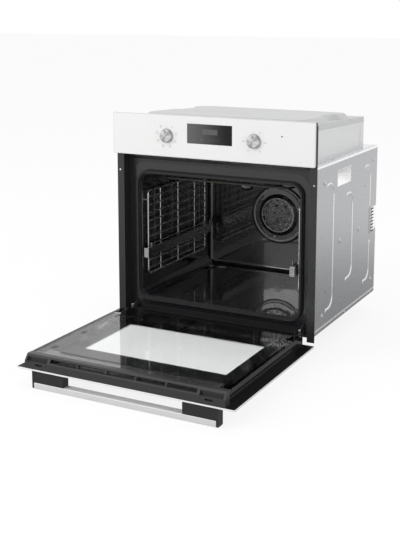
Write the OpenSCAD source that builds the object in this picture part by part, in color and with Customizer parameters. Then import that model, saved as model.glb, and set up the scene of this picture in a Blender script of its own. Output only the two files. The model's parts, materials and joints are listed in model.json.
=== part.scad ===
// Built-in wall oven with a drop-down glass door, telescopic rails and retractable knobs.
// Millimetres, +Z up. X = 0 is the middle, Y = 0 is the cabinet's front face and Z = 0 is
// the underside of the carcass. The front looks along -Y and the door lies open.

/* [Front] */
// Width of the control panel and of the door's outer pane
front_w = 595; // [585:1:600]
// Height from the closed door's lower edge to the panel's upper edge
front_h = 595; // [590:1:600]
// Height of the control panel's glass
panel_h = 114; // [110:1:118]
// Gap between the control panel and the closed door
door_gap = 4; // [3:0.5:5]
// How far the closed door hangs below the carcass
door_drop = 18; // [17:1:20]
// How far the glass faces stand in front of the cabinet
front_stand = 19; // [18:0.5:20]
// Thickness of the outer panes and of the inner pane
glass_t = 4; // [3.5:0.5:4.5]
// How far the two cabinet screws lie below the control panel
mount_drop = 49; // [40:1:70]
// Distance of the two cabinet screws from the front's side edges
mount_inset = 8.5; // [8:0.5:10]
// Diameter of the cabinet screw holes
mount_hole_d = 5.2; // [4:0.1:6]

/* [Carcass] */
// Width over the side panels
body_w = 557; // [552:1:558]
// Depth of the carcass behind the cabinet's front face
body_d = 548; // [540:1:560]
// How far the side panels end below the control panel's lower edge
side_drop = 11; // [8:1:14]
// Thickness of the sheet steel
sheet = 1; // [0.8:0.1:1.2]
// Depth of the recess that the door's inner body closes into
recess_d = 34; // [32:0.5:38]
// Width of the upper housing
duct_w = 504; // [480:1:520]
// Depth of the upper housing
duct_d = 490; // [470:1:510]
// Height of the upper housing at its front
duct_h = 106; // [104:1:108]
// Slope of the top cover towards the rear
top_slope = 2; // [1:0.1:2.2]
// Height of the raised field on the top cover
dome_h = 15; // [8:1:16]

/* [Cavity] */
// Width of the cavity
cavity_w = 480; // [470:1:482]
// Space between the cavity's roof and the control panel's lower edge
cavity_drop = 60; // [59:1:66]
// Depth of the cavity behind its front rim
cavity_d = 423; // [400:1:428]
// Height of the cavity floor above the carcass underside
cavity_z = 51; // [50:1:54]
// Corner radius of the cavity
cavity_r = 28; // [22:1:34]
// Radius of the drawn edge round the rear wall
rear_r = 12; // [8:1:16]
// Width of the enamelled rim round the cavity opening
rim_w = 26; // [24:1:28]
// Height of the rim above the opening
rim_top = 33; // [26:1:34]
// Width of the door seal
seal_w = 10; // [8:0.5:11]

/* [Fan] */
// How far the fan's axis lies above the middle of the cavity
fan_rise = 2; // [-6:1:10]
// Radius of the pressed ring round the fan
fan_ring_r = 87; // [84:1:90]
// Radius of the fan cover's domed disc
fan_cover_r = 65; // [62:1:68]
// Radius of the fan wheel
fan_r = 58; // [50:1:60]
// Number of fan blades
fan_blades = 14; // [8:1:18]
// Number of slot rings in the fan cover
grille_rings = 5; // [3:1:5]

/* [Racks and rails] */
// Diameter of the rack's frame wire
frame_wire = 5; // [4:0.5:6]
// Diameter of the rack's level wires
level_wire = 3.2; // [2.5:0.1:4]
// Number of level wires in each rack
levels = 10; // [8:1:10]
// Distance of the racks' frame wires from the cavity wall
rack_gap = 9; // [8:0.5:12]
// Height of the racks' lower wire above the cavity floor
rack_foot = 58; // [56:1:62]
// Space between the racks' upper wire and the cavity roof
rack_head = 53.5; // [50:0.5:58]
// Length of the telescopic rails
rail_len = 382; // [360:1:385]
// Height of the telescopic rails
rail_h = 25; // [22:0.5:26]
// How far a rail pulls out
rail_travel = 240; // [200:5:260]

/* [Door] */
// Thickness of the closed door, from its outer to its inner face
door_t = 38; // [37:0.5:38.5]
// Width of the door's inner body
door_body_w = 544; // [540:1:545]
// Height of the inner pane's lower edge above the carcass underside, door closed
pane_z = 62; // [58:1:66]
// How far the inner pane ends below the closed door's upper edge
pane_drop = 29; // [28:1:36]
// How far the hinge axis lies behind the outer face of the closed door
hinge_back = 8.5; // [8.3:0.1:9]
// How far the hinge axis lies below the carcass underside
hinge_low = 4.5; // [4:0.1:5]
// Distance of the hinges from the middle
hinge_x = 255; // [254:0.5:256]
// Diameter of the hinge pins
pin_d = 5; // [4:0.1:5.2]
// Running clearance round the hinge pins
pin_gap = 0.05; // [0.02:0.01:0.1]

/* [Handle] */
// Length of the handle bar
handle_l = 498; // [440:1:510]
// Height of the handle bar
bar_h = 24; // [18:1:26]
// Depth of the handle bar
bar_t = 16; // [12:1:20]
// Finger gap between the door glass and the bar
handle_gap = 31; // [28:1:45]
// Length of the handle brackets
bracket_l = 86; // [60:1:100]
// How far the bar lies below the outer pane's upper edge
handle_drop = 5; // [4:1:12]

/* [Controls] */
// Distance of the knobs from the middle
knob_x = 129; // [115:1:140]
// Diameter of the knobs
knob_d = 35.5; // [30:0.5:38]
// How far a pushed-in knob stands in front of the glass
knob_proud = 9; // [6:0.5:12]
// How far a knob pops out
knob_travel = 14; // [8:1:15]
// Width of the display window
display_w = 132; // [110:1:150]
// Height of the display window
display_h = 52; // [40:1:60]

/* [Hidden] */
$fn = 48;
eps = 0.01;
touch = 0.3;            // clearance between bodies that pass each other
half_w = front_w / 2;
half_body = body_w / 2;
panel_top = front_h - door_drop;
panel_bot = panel_top - panel_h;
panel_mid = (panel_top + panel_bot) / 2;
door_top = panel_bot - door_gap;
mount_z = panel_bot - mount_drop;
mount_pitch = front_w - 2 * mount_inset;
side_h = panel_bot - side_drop;
glass_y = -front_stand;
glass_back = glass_y + glass_t;
inner_y = glass_y + door_t;            // inner face of the closed door
hinge_y = glass_y + hinge_back;
hinge_z = -hinge_low;
flange_in = half_body - 2 * sheet;     // inner face of the front recess
rim_y = recess_d - 2 * sheet;          // front face of the cavity rim
cavity_back = rim_y + cavity_d;
cavity_top = panel_bot - cavity_drop;
cavity_h = cavity_top - cavity_z;
cavity_mid = cavity_z + cavity_h / 2;
fan_axis_z = cavity_mid + fan_rise;
pocket_d = 26;                         // depth of the fan pocket behind the rear wall
pocket_r = fan_ring_r - 11;
half_duct = duct_w / 2;
duct_top = side_h + sheet + duct_h;
function roof_z(y) = duct_top - y * tan(top_slope);
skirt_h = 14;
door_side = door_body_w / 2;
pane_top = door_top - pane_drop;
pane_h = pane_top - pane_z;
trim_top = door_top - 3;
lip_h = 3;                             // the closed door's body stays this far above the bottom lip
bar_top = door_top - handle_drop;
bar_y = glass_y - handle_gap - bar_t;
arm_t = 3;
cassette_t = 1.5;
cassette_gap = 3.5;                    // from the arm's middle plane to the cassette's inner face
rack_x = cavity_w / 2 - rack_gap;
rack_z0 = cavity_z + rack_foot;
rack_y0 = rim_y + 20;
rack_y1 = rack_y0 + 348;
rack_h = cavity_h - rack_foot - rack_head;
level_pitch = rack_h / (levels + 0.5);
level_x = rack_x - frame_wire / 2 - level_wire / 2;
rail_z = rack_z0 + 2.93 * level_pitch;
rail_y0 = rack_y0 - 22;
rail_x = level_x - level_wire / 2;     // face of the wires that carry the rail
rail_depth = 9;
clip_z = rack_z0 + 3.75 * level_pitch + level_wire / 2;

white = "#f2f2f0";
black = "#1b1b1d";
enamel = "#222327";
zinc = "#b9bcbe";
steel = "#c9cbcc";
glassy = "#30353a";

// ---------- shared shapes ----------

// Rounded rectangle about the origin
module round_rect(w, h, r) {
    square([w - 2 * r, h], center = true);
    square([w, h - 2 * r], center = true);
    for (sx = [-1, 1], sy = [-1, 1]) translate([sx * (w / 2 - r), sy * (h / 2 - r)]) circle(r);
}

// An X-Z outline given depth t, from y backwards
module facing(y, t) {
    translate([0, y + t, 0]) rotate([90, 0, 0]) linear_extrude(t) children();
}

// A Y-Z outline given width t, from x to the right
module sideways(x, t) {
    translate([x, 0, 0]) rotate([90, 0, 90]) linear_extrude(t) children();
}

// An X-Y outline given height t, from z up
module upright(z, t) {
    translate([0, 0, z]) linear_extrude(t) children();
}

// Straight round wire between two points
module wire(a, b, d) {
    v = b - a;
    n = norm(v);
    translate(a) rotate([0, acos(v[2] / n), atan2(v[1], v[0])]) cylinder(h = n, d = d);
}

// Keeps a shape drawn for the right side, or mirrors it to the left
module on_side(side) {
    mirror([side < 0 ? 1 : 0, 0, 0]) children();
}

// Lays a part drawn with the door closed into the open pose
module door_open() {
    translate([0, hinge_y, hinge_z]) rotate([90, 0, 0]) translate([0, -hinge_y, -hinge_z]) children();
}

// ---------- front and cavity ----------

opening_h = cavity_h + 2 * rim_w - 16;
opening_w = cavity_w + 2 * rim_w - 16;
slot_w = 12;
slot_h = 30;

outlets = 5;
outlet_w = 88;
lip_w = 480;

// Openings through which the cooling air leaves under the control panel
module outlet_cuts() {
    for (i = [0 : outlets - 1]) translate([(i - (outlets - 1) / 2) * (outlet_w + 12) - outlet_w / 2, 0, 0])
        translate([0, recess_d - 3 * sheet - 1, panel_bot - 9]) cube([outlet_w, 4 * sheet + 2, 7]);
}

module front_frame() {
    color(black) {
        // side flanges that screw to the cabinet
        for (side = [-1, 1]) on_side(side) {
            difference() {
                facing(-sheet, sheet) translate([flange_in, 0]) square([half_w - flange_in, panel_bot]);
                translate([mount_pitch / 2, 1, mount_z]) rotate([90, 0, 0]) cylinder(h = 4, d = mount_hole_d);
            }
            // recess walls
            translate([flange_in, -sheet, 0]) cube([sheet, recess_d + sheet, panel_bot]);
        }
        difference() {
            // recess floor with the cavity opening and the hinge slots
            facing(recess_d - sheet, sheet) difference() {
                translate([-flange_in, 0]) square([2 * flange_in, panel_bot]);
                translate([0, cavity_mid]) round_rect(opening_w, opening_h, cavity_r + 10);
                for (side = [-1, 1])
                    translate([side * hinge_x, 23]) round_rect(slot_w, slot_h, 2);
            }
            outlet_cuts();
        }
        // bottom lip under the closed door, folded back to meet the base panel
        translate([-lip_w / 2, -sheet, 0]) cube([lip_w, recess_d + sheet, sheet]);
        translate([-half_body + 15, recess_d - eps, 0]) cube([body_w - 30, 20, sheet]);
        // plate behind the control housing
        facing(-sheet, sheet) difference() {
            translate([-half_w, panel_bot]) square([front_w, panel_h - 10]);
            for (x = [-knob_x, 0, knob_x]) translate([x, panel_mid]) round_rect(92, panel_h - 50, 6);
        }
        // closing wall above the recess
        translate([-flange_in - sheet, -sheet, panel_bot]) cube([2 * flange_in + 2 * sheet, recess_d + sheet, sheet]);
    }
}

deflector_w = 2 * flange_in - 24;
notches = 9;

// Sloping lip under the control panel with the cooling air's outlet notches
module air_deflector() {
    lip_z = panel_bot - 19;
    color(black) difference() {
        sideways(-deflector_w / 2, deflector_w) polygon([
            [recess_d - sheet, lip_z], [recess_d - sheet, panel_bot], [recess_d - 2 * sheet, panel_bot],
            [recess_d - 2 * sheet, lip_z + 4], [inner_y + 6, panel_bot - 5],
            [inner_y + 5, panel_bot - 6.5], [recess_d - 2 * sheet - 1, lip_z]]);
        for (i = [0 : notches - 1])
            translate([(i - (notches - 1) / 2) * deflector_w / notches - 20, inner_y, panel_bot - 12])
                cube([40, 8, 12]);
        outlet_cuts();
    }
}

// Box with rounded corners seen from the front and drawn rear edges
module cavity_form(grow) {
    w = cavity_w + 2 * grow;
    h = cavity_h + 2 * grow;
    e = rear_r + grow;
    y0 = rim_y - (grow == 0 ? 1 : 0);
    d = cavity_back + grow - y0;
    intersection() {
        facing(y0, d) translate([0, cavity_mid]) round_rect(w, h, cavity_r + grow);
        upright(cavity_mid - h / 2 - 1, h + 2) translate([0, y0 + d / 2 - e / 2]) round_rect(w, d + e, e);
        sideways(-w / 2 - 1, w + 2) translate([y0 + d / 2 - e / 2, cavity_mid]) round_rect(d + e, h, e);
    }
}

floor_w = cavity_w - 70;
floor_d = cavity_d - 70;
floor_step = 3;

// The enamelled shell behind the rim: walls, floor and the rear wall with its fan pocket
module cavity_shell() {
    pan_y = rim_y + cavity_d / 2 + 4;
    difference() {
        union() {
            cavity_form(sheet);
            // pressed-down field of the floor
            upright(cavity_z - sheet - floor_step, floor_step + sheet)
                translate([0, pan_y]) round_rect(floor_w + 2 * sheet, floor_d + 2 * sheet, 40);
            // fan pocket
            translate([0, cavity_back + pocket_d, fan_axis_z]) rotate([90, 0, 0])
                cylinder(h = pocket_d + 2, r = pocket_r + sheet);
        }
        cavity_form(0);
        upright(cavity_z - floor_step, floor_step + 1)
            translate([0, pan_y]) round_rect(floor_w, floor_d, 39);
        translate([0, cavity_back + pocket_d - sheet, fan_axis_z]) rotate([90, 0, 0])
            cylinder(h = pocket_d + 2, r = pocket_r);
        // hole for the fan shaft
        translate([0, cavity_back + pocket_d + 1, fan_axis_z]) rotate([90, 0, 0])
            cylinder(h = 4, d = 12);
        // hole for the lamp
        translate([lamp_x, cavity_back + 5, lamp_z]) rotate([90, 0, 0]) cylinder(h = 12, d = lamp_d);
        // holes for the grill element's two legs
        for (s = [-1, 1]) translate([s * grill_leg, cavity_back + 5, grill_z])
            rotate([90, 0, 0]) cylinder(h = 12, d = tube_d + 1);
        // holes for the ring element's two legs
        for (s = [-1, 1]) translate([s * ring_leg, cavity_back + pocket_d + 1, fan_axis_z + ring_r - 1])
            rotate([90, 0, 0]) cylinder(h = 4, d = tube_d + 1);
    }
}

rear_seam = cavity_back - rear_r - 0.5;    // where the rear wall's drawn edge meets the walls
rim_seam = rim_y + sheet;                  // where the walls meet the rim
mark_w = 34;
mark_h = 12;

// Front plate that frames the opening
module cavity_rim() {
    color(enamel) facing(rim_y, sheet) difference() {
        translate([0, cavity_mid + (rim_top - rim_w) / 2])
            round_rect(cavity_w + 2 * rim_w, cavity_h + rim_w + rim_top, cavity_r + 12);
        translate([0, cavity_mid]) round_rect(cavity_w, cavity_h, cavity_r);
    }
}

// Walls and floor between the rim and the rear wall
module cavity_liner() {
    color(enamel) intersection() {
        cavity_shell();
        translate([-half_w, rim_seam, 0]) cube([front_w, rear_seam - rim_seam, front_h]);
    }
}

// Drawn rear wall with the fan pocket
module cavity_rear() {
    color(enamel) {
        intersection() {
            cavity_shell();
            translate([-half_w, rear_seam, 0]) cube([front_w, body_d, front_h]);
        }
        // pressed ring round the fan
        translate([0, cavity_back + eps, fan_axis_z]) rotate([90, 0, 0])
            rotate_extrude($fn = 96) polygon([[fan_ring_r - 7, 0], [fan_ring_r - 3, 3.5],
                [fan_ring_r, 3.5], [fan_ring_r + 5, 0]]);
        // oval pad pressed into the wall beside the fan
        facing(cavity_back - 1.5, 1.5 + eps) translate([-73, cavity_z + 71]) round_rect(mark_w, mark_h, mark_h / 2 - eps);
    }
}

// Silicone seal that the closed door presses on
module door_seal() {
    depth = rim_y - inner_y - touch;
    color("#2b2b2d") {
        for (part = [[0, depth * 0.45, 0], [depth * 0.45 - eps, depth * 0.55 + eps, 2.2]])
            facing(rim_y - part[0] - part[1], part[1]) translate([0, cavity_mid]) difference() {
                round_rect(cavity_w + 2 * (seal_w + 1.5 - part[2]), cavity_h + 2 * (seal_w + 1.5 - part[2]),
                    cavity_r + seal_w - part[2]);
                round_rect(cavity_w + 2 * (1.5 + part[2]), cavity_h + 2 * (1.5 + part[2]), cavity_r + part[2]);
            }
    }
}

// ---------- casing ----------

bead_w = 13;
bead_h = 2.5;
bead_sink = (pow(bead_w / 2, 2) - pow(bead_h, 2)) / (2 * bead_h);
bead_r = bead_sink + bead_h;
hook_r = 34;
hook_l = 15;
grip_y = [203, 311];
grip_z = [side_h - 73, side_h - 28];
hem_t = 0.7;
hem_h = 11;
hem_y = recess_d + 4;
vent_h = 86;
vent_z = side_h / 2 - 36;
side_screws = [[103, side_h - 48], [230, side_h * 0.494], [387, side_h * 0.498], [102, 40],
    [body_d - 37, 45], [body_d - 37, side_h - 40]];

// Section of a pressed bead, lying outside its sheet
module bead_section() {
    intersection() {
        translate([-bead_sink, 0]) circle(bead_r);
        translate([0, -bead_w]) square([bead_h * 2, bead_w * 2]);
    }
}

// Upright bead on a side panel with its ends turned forwards or rounded off
module side_bead(y, z0, z1, hooks = [1, 1]) {
    translate([half_body, y, z0]) linear_extrude(z1 - z0) bead_section();
    for (e = [0, 1]) {
        z = e == 0 ? z0 : z1;
        up = e == 0 ? -1 : 1;
        if (hooks[e] == 1) {
            translate([half_body, y - hook_r, z]) mirror([0, 0, e == 0 ? 1 : 0]) rotate([90, 0, 90])
                rotate_extrude(angle = 90) translate([hook_r, 0]) rotate(90) bead_section();
            translate([half_body, y - hook_r - hook_l, z + up * hook_r]) rotate([-90, 0, 0])
                linear_extrude(hook_l) bead_section();
            bead_end(y - hook_r - hook_l, z + up * hook_r);
        } else {
            bead_end(y, z);
        }
    }
}

// Rounded end of a bead
module bead_end(y, z) {
    intersection() {
        translate([half_body - bead_sink, y, z]) sphere(bead_r);
        translate([half_body, y - bead_w, z - bead_w]) cube([bead_h * 2, 2 * bead_w, 2 * bead_w]);
    }
}

module side_panel(side) {
    color(zinc) on_side(side) difference() {
        union() {
            translate([half_body - sheet, 0, 0]) cube([sheet, body_d, side_h]);
            // folds along the bottom and the rear
            translate([half_body - 14, recess_d, 0]) cube([14, body_d - recess_d, sheet]);
            translate([half_body - 14, body_d - 2 * sheet, 0]) cube([14, sheet, side_h]);
            // rolled upper edge
            facing(0, body_d) intersection() {
                translate([half_body - 0.4, side_h - 2.6]) circle(2.6);
                translate([half_body - sheet, side_h - 6]) square([6, 6]);
            }
            side_bead(180, 82, side_h - 94);
            side_bead(336, 133, side_h - 143);
            side_bead(body_d - 56, 87, 166, [1, 0]);
            side_bead(body_d - 56, side_h - 176, side_h - 87, [0, 1]);
            // dimples under the screws
            for (s = side_screws) translate([half_body - eps, s[0], s[1]]) rotate([0, 90, 0])
                cylinder(h = 1.2, r1 = 9, r2 = 6);
            // vent tab at the rear edge
            translate([half_body - eps, body_d - 60, vent_z]) cube([2, 38, vent_h]);
        }
        // carry opening
        translate([half_body - 3, grip_y[0], grip_z[0]]) cube([8, grip_y[1] - grip_y[0], grip_z[1] - grip_z[0]]);
        for (i = [0 : 7]) translate([half_body - 3, body_d - 54, vent_z + 6 + i * 9.6]) cube([8, 26, 4]);
        for (h = [[body_d - 111, side_h - 108], [body_d - 108, 109], [128, 103]])
            translate([half_body - 3, h[0], h[1]]) rotate([0, 90, 0]) cylinder(h = 6, d = 5);
    }
    // hem along the bottom, and the carry pocket folded inwards: a ramp, two cheeks and a roof
    color(zinc) on_side(side) {
        translate([half_body - eps, hem_y, 1.5]) cube([hem_t, body_d - hem_y - 2, hem_h]);
        depth = 26;
        x0 = half_body - sheet;
        translate([0, grip_y[0] - sheet, 0]) rotate([90, 0, 0]) translate([0, 0, -(grip_y[1] - grip_y[0] + 2 * sheet)])
            linear_extrude(grip_y[1] - grip_y[0] + 2 * sheet) polygon([
                [x0, grip_z[0] - sheet], [x0, grip_z[0]], [x0 - depth + sheet, grip_z[1] - 12],
                [x0 - depth + sheet, grip_z[1]], [x0, grip_z[1]], [x0, grip_z[1] + sheet],
                [x0 - depth, grip_z[1] + sheet], [x0 - depth, grip_z[1] - 12.4]]);
        for (y = [grip_y[0] - sheet, grip_y[1]]) translate([0, y + sheet, 0]) rotate([90, 0, 0])
            linear_extrude(sheet) polygon([[x0, grip_z[0]], [x0 - depth + sheet, grip_z[1] - 12],
                [x0 - depth + sheet, grip_z[1]], [x0, grip_z[1]]]);
    }
}

module rear_panel() {
    w = body_w - 2 * sheet;
    color(zinc) difference() {
        union() {
            facing(body_d - sheet, sheet) translate([-w / 2, sheet]) square([w, side_h - 2 * sheet]);
            // pressed field over the fan motor
            facing(body_d - eps, 5) translate([0, fan_axis_z]) round_rect(220, 200, 30);
            for (s = [-1, 1]) facing(body_d - eps, 3) translate([s * 195, side_h / 2]) round_rect(40, side_h - 110, 12);
        }
        facing(body_d - sheet - 1, sheet + 5) translate([0, fan_axis_z]) round_rect(214, 194, 28);
        for (s = [-1, 1]) facing(body_d - sheet - 1, sheet + 3) translate([s * 195, side_h / 2])
            round_rect(36, side_h - 114, 10);
        // louvres
        for (s = [-1, 1], i = [0 : 5]) facing(body_d - sheet - 1, sheet + 8)
            translate([s * 60, fan_axis_z - 60 + i * 24]) round_rect(70, 6, 2.9);
        // cable entry
        facing(body_d - sheet - 1, sheet + 2) translate([cable_x, cable_z]) circle(d = 22);
    }
}

module base_panel() {
    w = body_w - 2 * sheet;
    color(zinc) difference() {
        union() {
            translate([-w / 2, recess_d + 2, sheet]) cube([w, body_d - recess_d - 4, sheet]);
            for (i = [-1, 1]) translate([i * 150 - 30, 90, sheet - eps]) cube([60, body_d - 180, 6]);
        }
        for (i = [-1, 1]) translate([i * 150 - 29, 91, 0]) cube([58, body_d - 182, 6]);
        for (i = [-4 : 4]) translate([i * 48, body_d - 60, 0]) upright(0, 4) round_rect(34, 7, 3.4);
    }
}

// Plate that closes the carcass and carries the cooling fan
module deck_plate() {
    color(zinc) difference() {
        union() {
            translate([-half_body, recess_d, side_h]) cube([body_w, body_d - sheet - recess_d, sheet]);
            // seam strips along both ledges
            for (s = [-1, 1]) translate([s * (half_body - 11) - 5, recess_d + 4, side_h + sheet - eps])
                cube([10, body_d - recess_d - 12, 1.4]);
        }
        for (s = [-1, 1]) translate([s * 150, body_d - 150, side_h - 1]) upright(0, 5) round_rect(90, 60, 8);
    }
}

duct_z = side_h + sheet;
emboss_y = [150, duct_d - 28];

// Side outline of the upper housing, stepped over the recess and h below the lid
module duct_side(h) {
    polygon([[recess_d + 1, duct_z], [duct_d, duct_z], [duct_d, roof_z(duct_d) - h], [0.4, roof_z(0.4) - h],
        [0.4, panel_bot + sheet], [recess_d + 1, panel_bot + sheet]]);
}

// Open-topped sheet box that guides the cooling air to the front
module upper_housing() {
    color("#d5d7d8") difference() {
        union() {
            for (s = [-1, 1]) on_side(s) {
                sideways(half_duct - 2 * sheet, sheet) duct_side(0);
                // foot flange
                translate([half_duct - 14, recess_d + 2, duct_z]) cube([12, duct_d - recess_d - 2, sheet]);
                // outer layer round the pressed side field
                sideways(half_duct - sheet - eps, sheet) difference() {
                    duct_side(skirt_h + sheet);
                    polygon([[emboss_y[0], duct_z + 9], [emboss_y[1], duct_z + 9],
                        [emboss_y[1], roof_z(emboss_y[1]) - skirt_h - 10], [emboss_y[0], roof_z(emboss_y[0]) - skirt_h - 10]]);
                }
                // rear corner flange
                translate([half_duct - 16, duct_d, duct_z]) cube([16, sheet, roof_z(duct_d) - duct_z - sheet]);
            }
            translate([-half_duct + sheet, duct_d - sheet, duct_z])
                cube([duct_w - 2 * sheet, sheet, roof_z(duct_d) - duct_z - sheet]);
        }
        for (i = [-3 : 3]) facing(duct_d - 2 * sheet, 4 * sheet) translate([i * 60, duct_z + 50])
            round_rect(40, 6, 2.9);
    }
}

dome_y = [26, 416];
dome_r = 52;
dome_slope = 14;
notch_y = 55;           // the side notches' middle behind the dome's middle
notch_l = 116;
notch_d = 25;

// Rounded block with sloping sides
module frustum(w, d, r, h, slope) {
    for (sx = [-1, 1], sy = [-1, 1]) translate([sx * (w / 2 - r), sy * (d / 2 - r), 0])
        cylinder(h = h, r1 = r, r2 = r - slope);
    translate([-w / 2 + r, 0, 0]) rotate([90, 0, 90]) linear_extrude(w - 2 * r)
        polygon([[-d / 2, 0], [d / 2, 0], [d / 2 - slope, h], [-d / 2 + slope, h]]);
    translate([0, d / 2 - r, 0]) rotate([90, 0, 0]) linear_extrude(d - 2 * r)
        polygon([[-w / 2, 0], [w / 2, 0], [w / 2 - slope, h], [-w / 2 + slope, h]]);
}

// The pressed dome with a notch in either side, inset by the given amount
module dome_form(inset) {
    w = duct_w - 8;
    d = dome_y[1] - dome_y[0];
    difference() {
        frustum(w - 2 * inset, d - 2 * inset, dome_r - inset, dome_h, dome_slope);
        for (s = [-1, 1]) translate([s * w / 2, notch_y, -eps])
            frustum(2 * (notch_d + inset), notch_l + 2 * inset, 16 + inset, dome_h + 2 * eps, -dome_slope * 0.6);
    }
}

module top_cover() {
    mid = (dome_y[0] + dome_y[1]) / 2;
    color("#dcdddd") translate([0, 0, duct_top]) rotate([-top_slope, 0, 0]) difference() {
        union() {
            // lid and its skirt
            translate([-half_duct, 0, 0]) cube([duct_w, duct_d + sheet, sheet]);
            for (s = [-1, 1]) translate([s * (half_duct - sheet / 2) - sheet / 2, 1, -skirt_h])
                cube([sheet, duct_d - 1, skirt_h + sheet]);
            translate([0, mid, sheet - eps]) dome_form(0);
        }
        translate([0, mid, -eps]) dome_form(sheet);
    }
}

// ---------- controls ----------

module control_glass() {
    color(white) difference() {
        facing(glass_y, glass_t) translate([0, panel_mid]) round_rect(front_w, panel_h, 3);
        for (s = [-1, 1]) translate([s * knob_x, glass_back + 1, panel_mid]) rotate([90, 0, 0])
            cylinder(h = glass_t + 2, d = knob_d + 2);
        facing(glass_y - 1, glass_t + 2) translate([0, panel_mid + 10]) round_rect(display_w + 1, display_h + 1, 1.5);
        translate([led_x, glass_back + 1, panel_mid + 17]) rotate([90, 0, 0]) cylinder(h = glass_t + 2, d = 4.4);
    }
}

led_x = half_w - 90.5;
shell = 2;

// Moulded carrier behind the glass
module control_housing() {
    h = panel_h - 4;
    d = -glass_back - sheet;
    color(black) difference() {
        facing(glass_back, d) translate([0, panel_mid]) round_rect(front_w - 2, h, 2);
        facing(glass_back + shell, d) translate([0, panel_mid]) round_rect(front_w - 2 - 2 * shell, h - 2 * shell, 2);
        for (s = [-1, 1]) translate([s * knob_x, 0, panel_mid]) rotate([90, 0, 0])
            cylinder(h = 30, d = knob_d + 2);
        facing(glass_back - 1, shell + 2) translate([0, panel_mid + 10]) round_rect(display_w - 6, display_h - 6, 2);
        translate([led_x, 0, panel_mid + 17]) rotate([90, 0, 0]) cylinder(h = 30, d = 4.4);
    }
}

module display_module() {
    color("#17181a") {
        facing(glass_y, glass_t) translate([0, panel_mid + 10]) round_rect(display_w, display_h, 1.5);
        facing(glass_back - eps, 11) translate([0, panel_mid + 10]) round_rect(display_w - 8, display_h - 8, 2);
        facing(-5, 2) translate([0, panel_mid + 2]) square([170, 78], center = true);
    }
}

module indicator_lens() {
    color("#5a3a30") translate([led_x, -4, panel_mid + 17]) rotate([90, 0, 0]) cylinder(h = -glass_y - 4, d = 4);
}

switch_y = 6;

// Body of a rotary switch with its mounting plate
module rotary_body(x, w, d) {
    difference() {
        union() {
            facing(switch_y, d) translate([x, panel_mid]) round_rect(w, w, 4);
            facing(switch_y - 2, 2) translate([x, panel_mid]) square([w + 16, w + 4], center = true);
            // posts that hold the plate to the housing
            for (s = [-1, 1]) translate([x + s * (w / 2 + 4), switch_y, panel_mid]) rotate([90, 0, 0])
                cylinder(h = switch_y - glass_back - shell, d = 6);
        }
        translate([x, switch_y + d - 4, panel_mid]) rotate([90, 0, 0]) cylinder(h = d + 4, d = sleeve_d + 2 * touch);
    }
}

module function_switch() {
    color("#e9e4d6") rotary_body(-knob_x, 46, 34);
}

module thermostat() {
    color("#e9e4d6") rotary_body(knob_x, 44, 28);
    color(steel) translate([knob_x, switch_y + 28 + 9, panel_mid - 4]) rotate([90, 0, 0]) cylinder(h = 9.5, d = 16);
}

bezel_w = 2.2;

module knob_bezels() {
    color(steel) for (s = [-1, 1]) translate([s * knob_x, glass_y + 2, panel_mid]) rotate([90, 0, 0])
        rotate_extrude() polygon([[knob_d / 2 + touch, 0], [knob_d / 2 + 0.95, 0], [knob_d / 2 + 0.95, 2],
            [knob_d / 2 + bezel_w, 2], [knob_d / 2 + bezel_w - 0.6, 3.4], [knob_d / 2 + touch, 3.4]]);
}

sleeve_d = 12;
shaft_d = 6;
shaft_gap = 0.06;       // running clearance of the knob's shaft

// Knob with a concave face, a rounded rim and a shaft
module knob(x) {
    r = knob_d / 2;
    y = glass_y - knob_proud;
    color(steel) translate([x, y, panel_mid]) rotate([-90, 0, 0]) {
        rotate_extrude() polygon([[0, 0.6], [r - 3, 0], [r - 0.8, 0.6], [r, 1.6], [r, knob_proud + 2],
            [sleeve_d / 2 + 1, knob_proud + 2], [sleeve_d / 2 + 1, knob_proud + 6], [sleeve_d / 2 + touch, knob_proud + 6],
            [sleeve_d / 2 + touch, 6], [0, 6]]);
        cylinder(h = knob_proud + 44, d = shaft_d);
        // pointer mark
        translate([-0.6, -r + 1, -0.25]) cube([1.2, r / 3, 1]);
    }
}

// Sprung sleeve that carries the knob in and out
module knob_sleeve(x) {
    y = glass_y - knob_proud + 6 + touch;
    color("#d8d8d8") translate([x, y, panel_mid]) rotate([-90, 0, 0]) difference() {
        cylinder(h = knob_proud + 35, d = sleeve_d);
        translate([0, 0, -1]) cylinder(h = knob_proud + 38, d = shaft_d + 2 * shaft_gap);
    }
}

// ---------- lamp and heaters ----------

lamp_x = -110;
lamp_z = cavity_top - 80;
lamp_d = 42;
tube_d = 6.5;
grill_z = cavity_top - 16;
grill_leg = 16;
ring_r = 68;
ring_leg = 12;

module lamp_housing() {
    color(steel) translate([lamp_x, cavity_back + sheet, lamp_z]) rotate([-90, 0, 0]) {
        difference() {
            union() {
                cylinder(h = 1, d = lamp_d + 14);
                cylinder(h = 48, d = lamp_d - 1);
            }
            translate([0, 0, -1]) cylinder(h = 40, d = lamp_d - 5);
        }
        // lamp bulb on its holder
        translate([0, 0, 26]) cylinder(h = 15, d = 14);
        translate([0, 0, 14]) cylinder(h = 14, d = 10);
        translate([0, 0, 14]) sphere(d = 10);
    }
}

module lamp_glass() {
    color(glassy) translate([lamp_x, cavity_back, lamp_z]) rotate([90, 0, 0]) {
        translate([0, 0, -sheet - 2]) cylinder(h = sheet + 4, d = lamp_d - 6);
        rotate_extrude() polygon([[0, 0], [lamp_d / 2 + 6, 0], [lamp_d / 2 + 6, 3], [lamp_d / 2 - 2, 9],
            [lamp_d / 2 - 8, 11], [0, 12]]);
    }
}

// Heater tube bend in the X-Y plane: a half turn that opens along the given heading
module tube_bend(x, y, z, r, from, turn) {
    translate([x, y, z]) rotate([0, 0, from]) rotate_extrude(angle = turn) translate([r, 0]) circle(d = tube_d);
}

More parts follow.
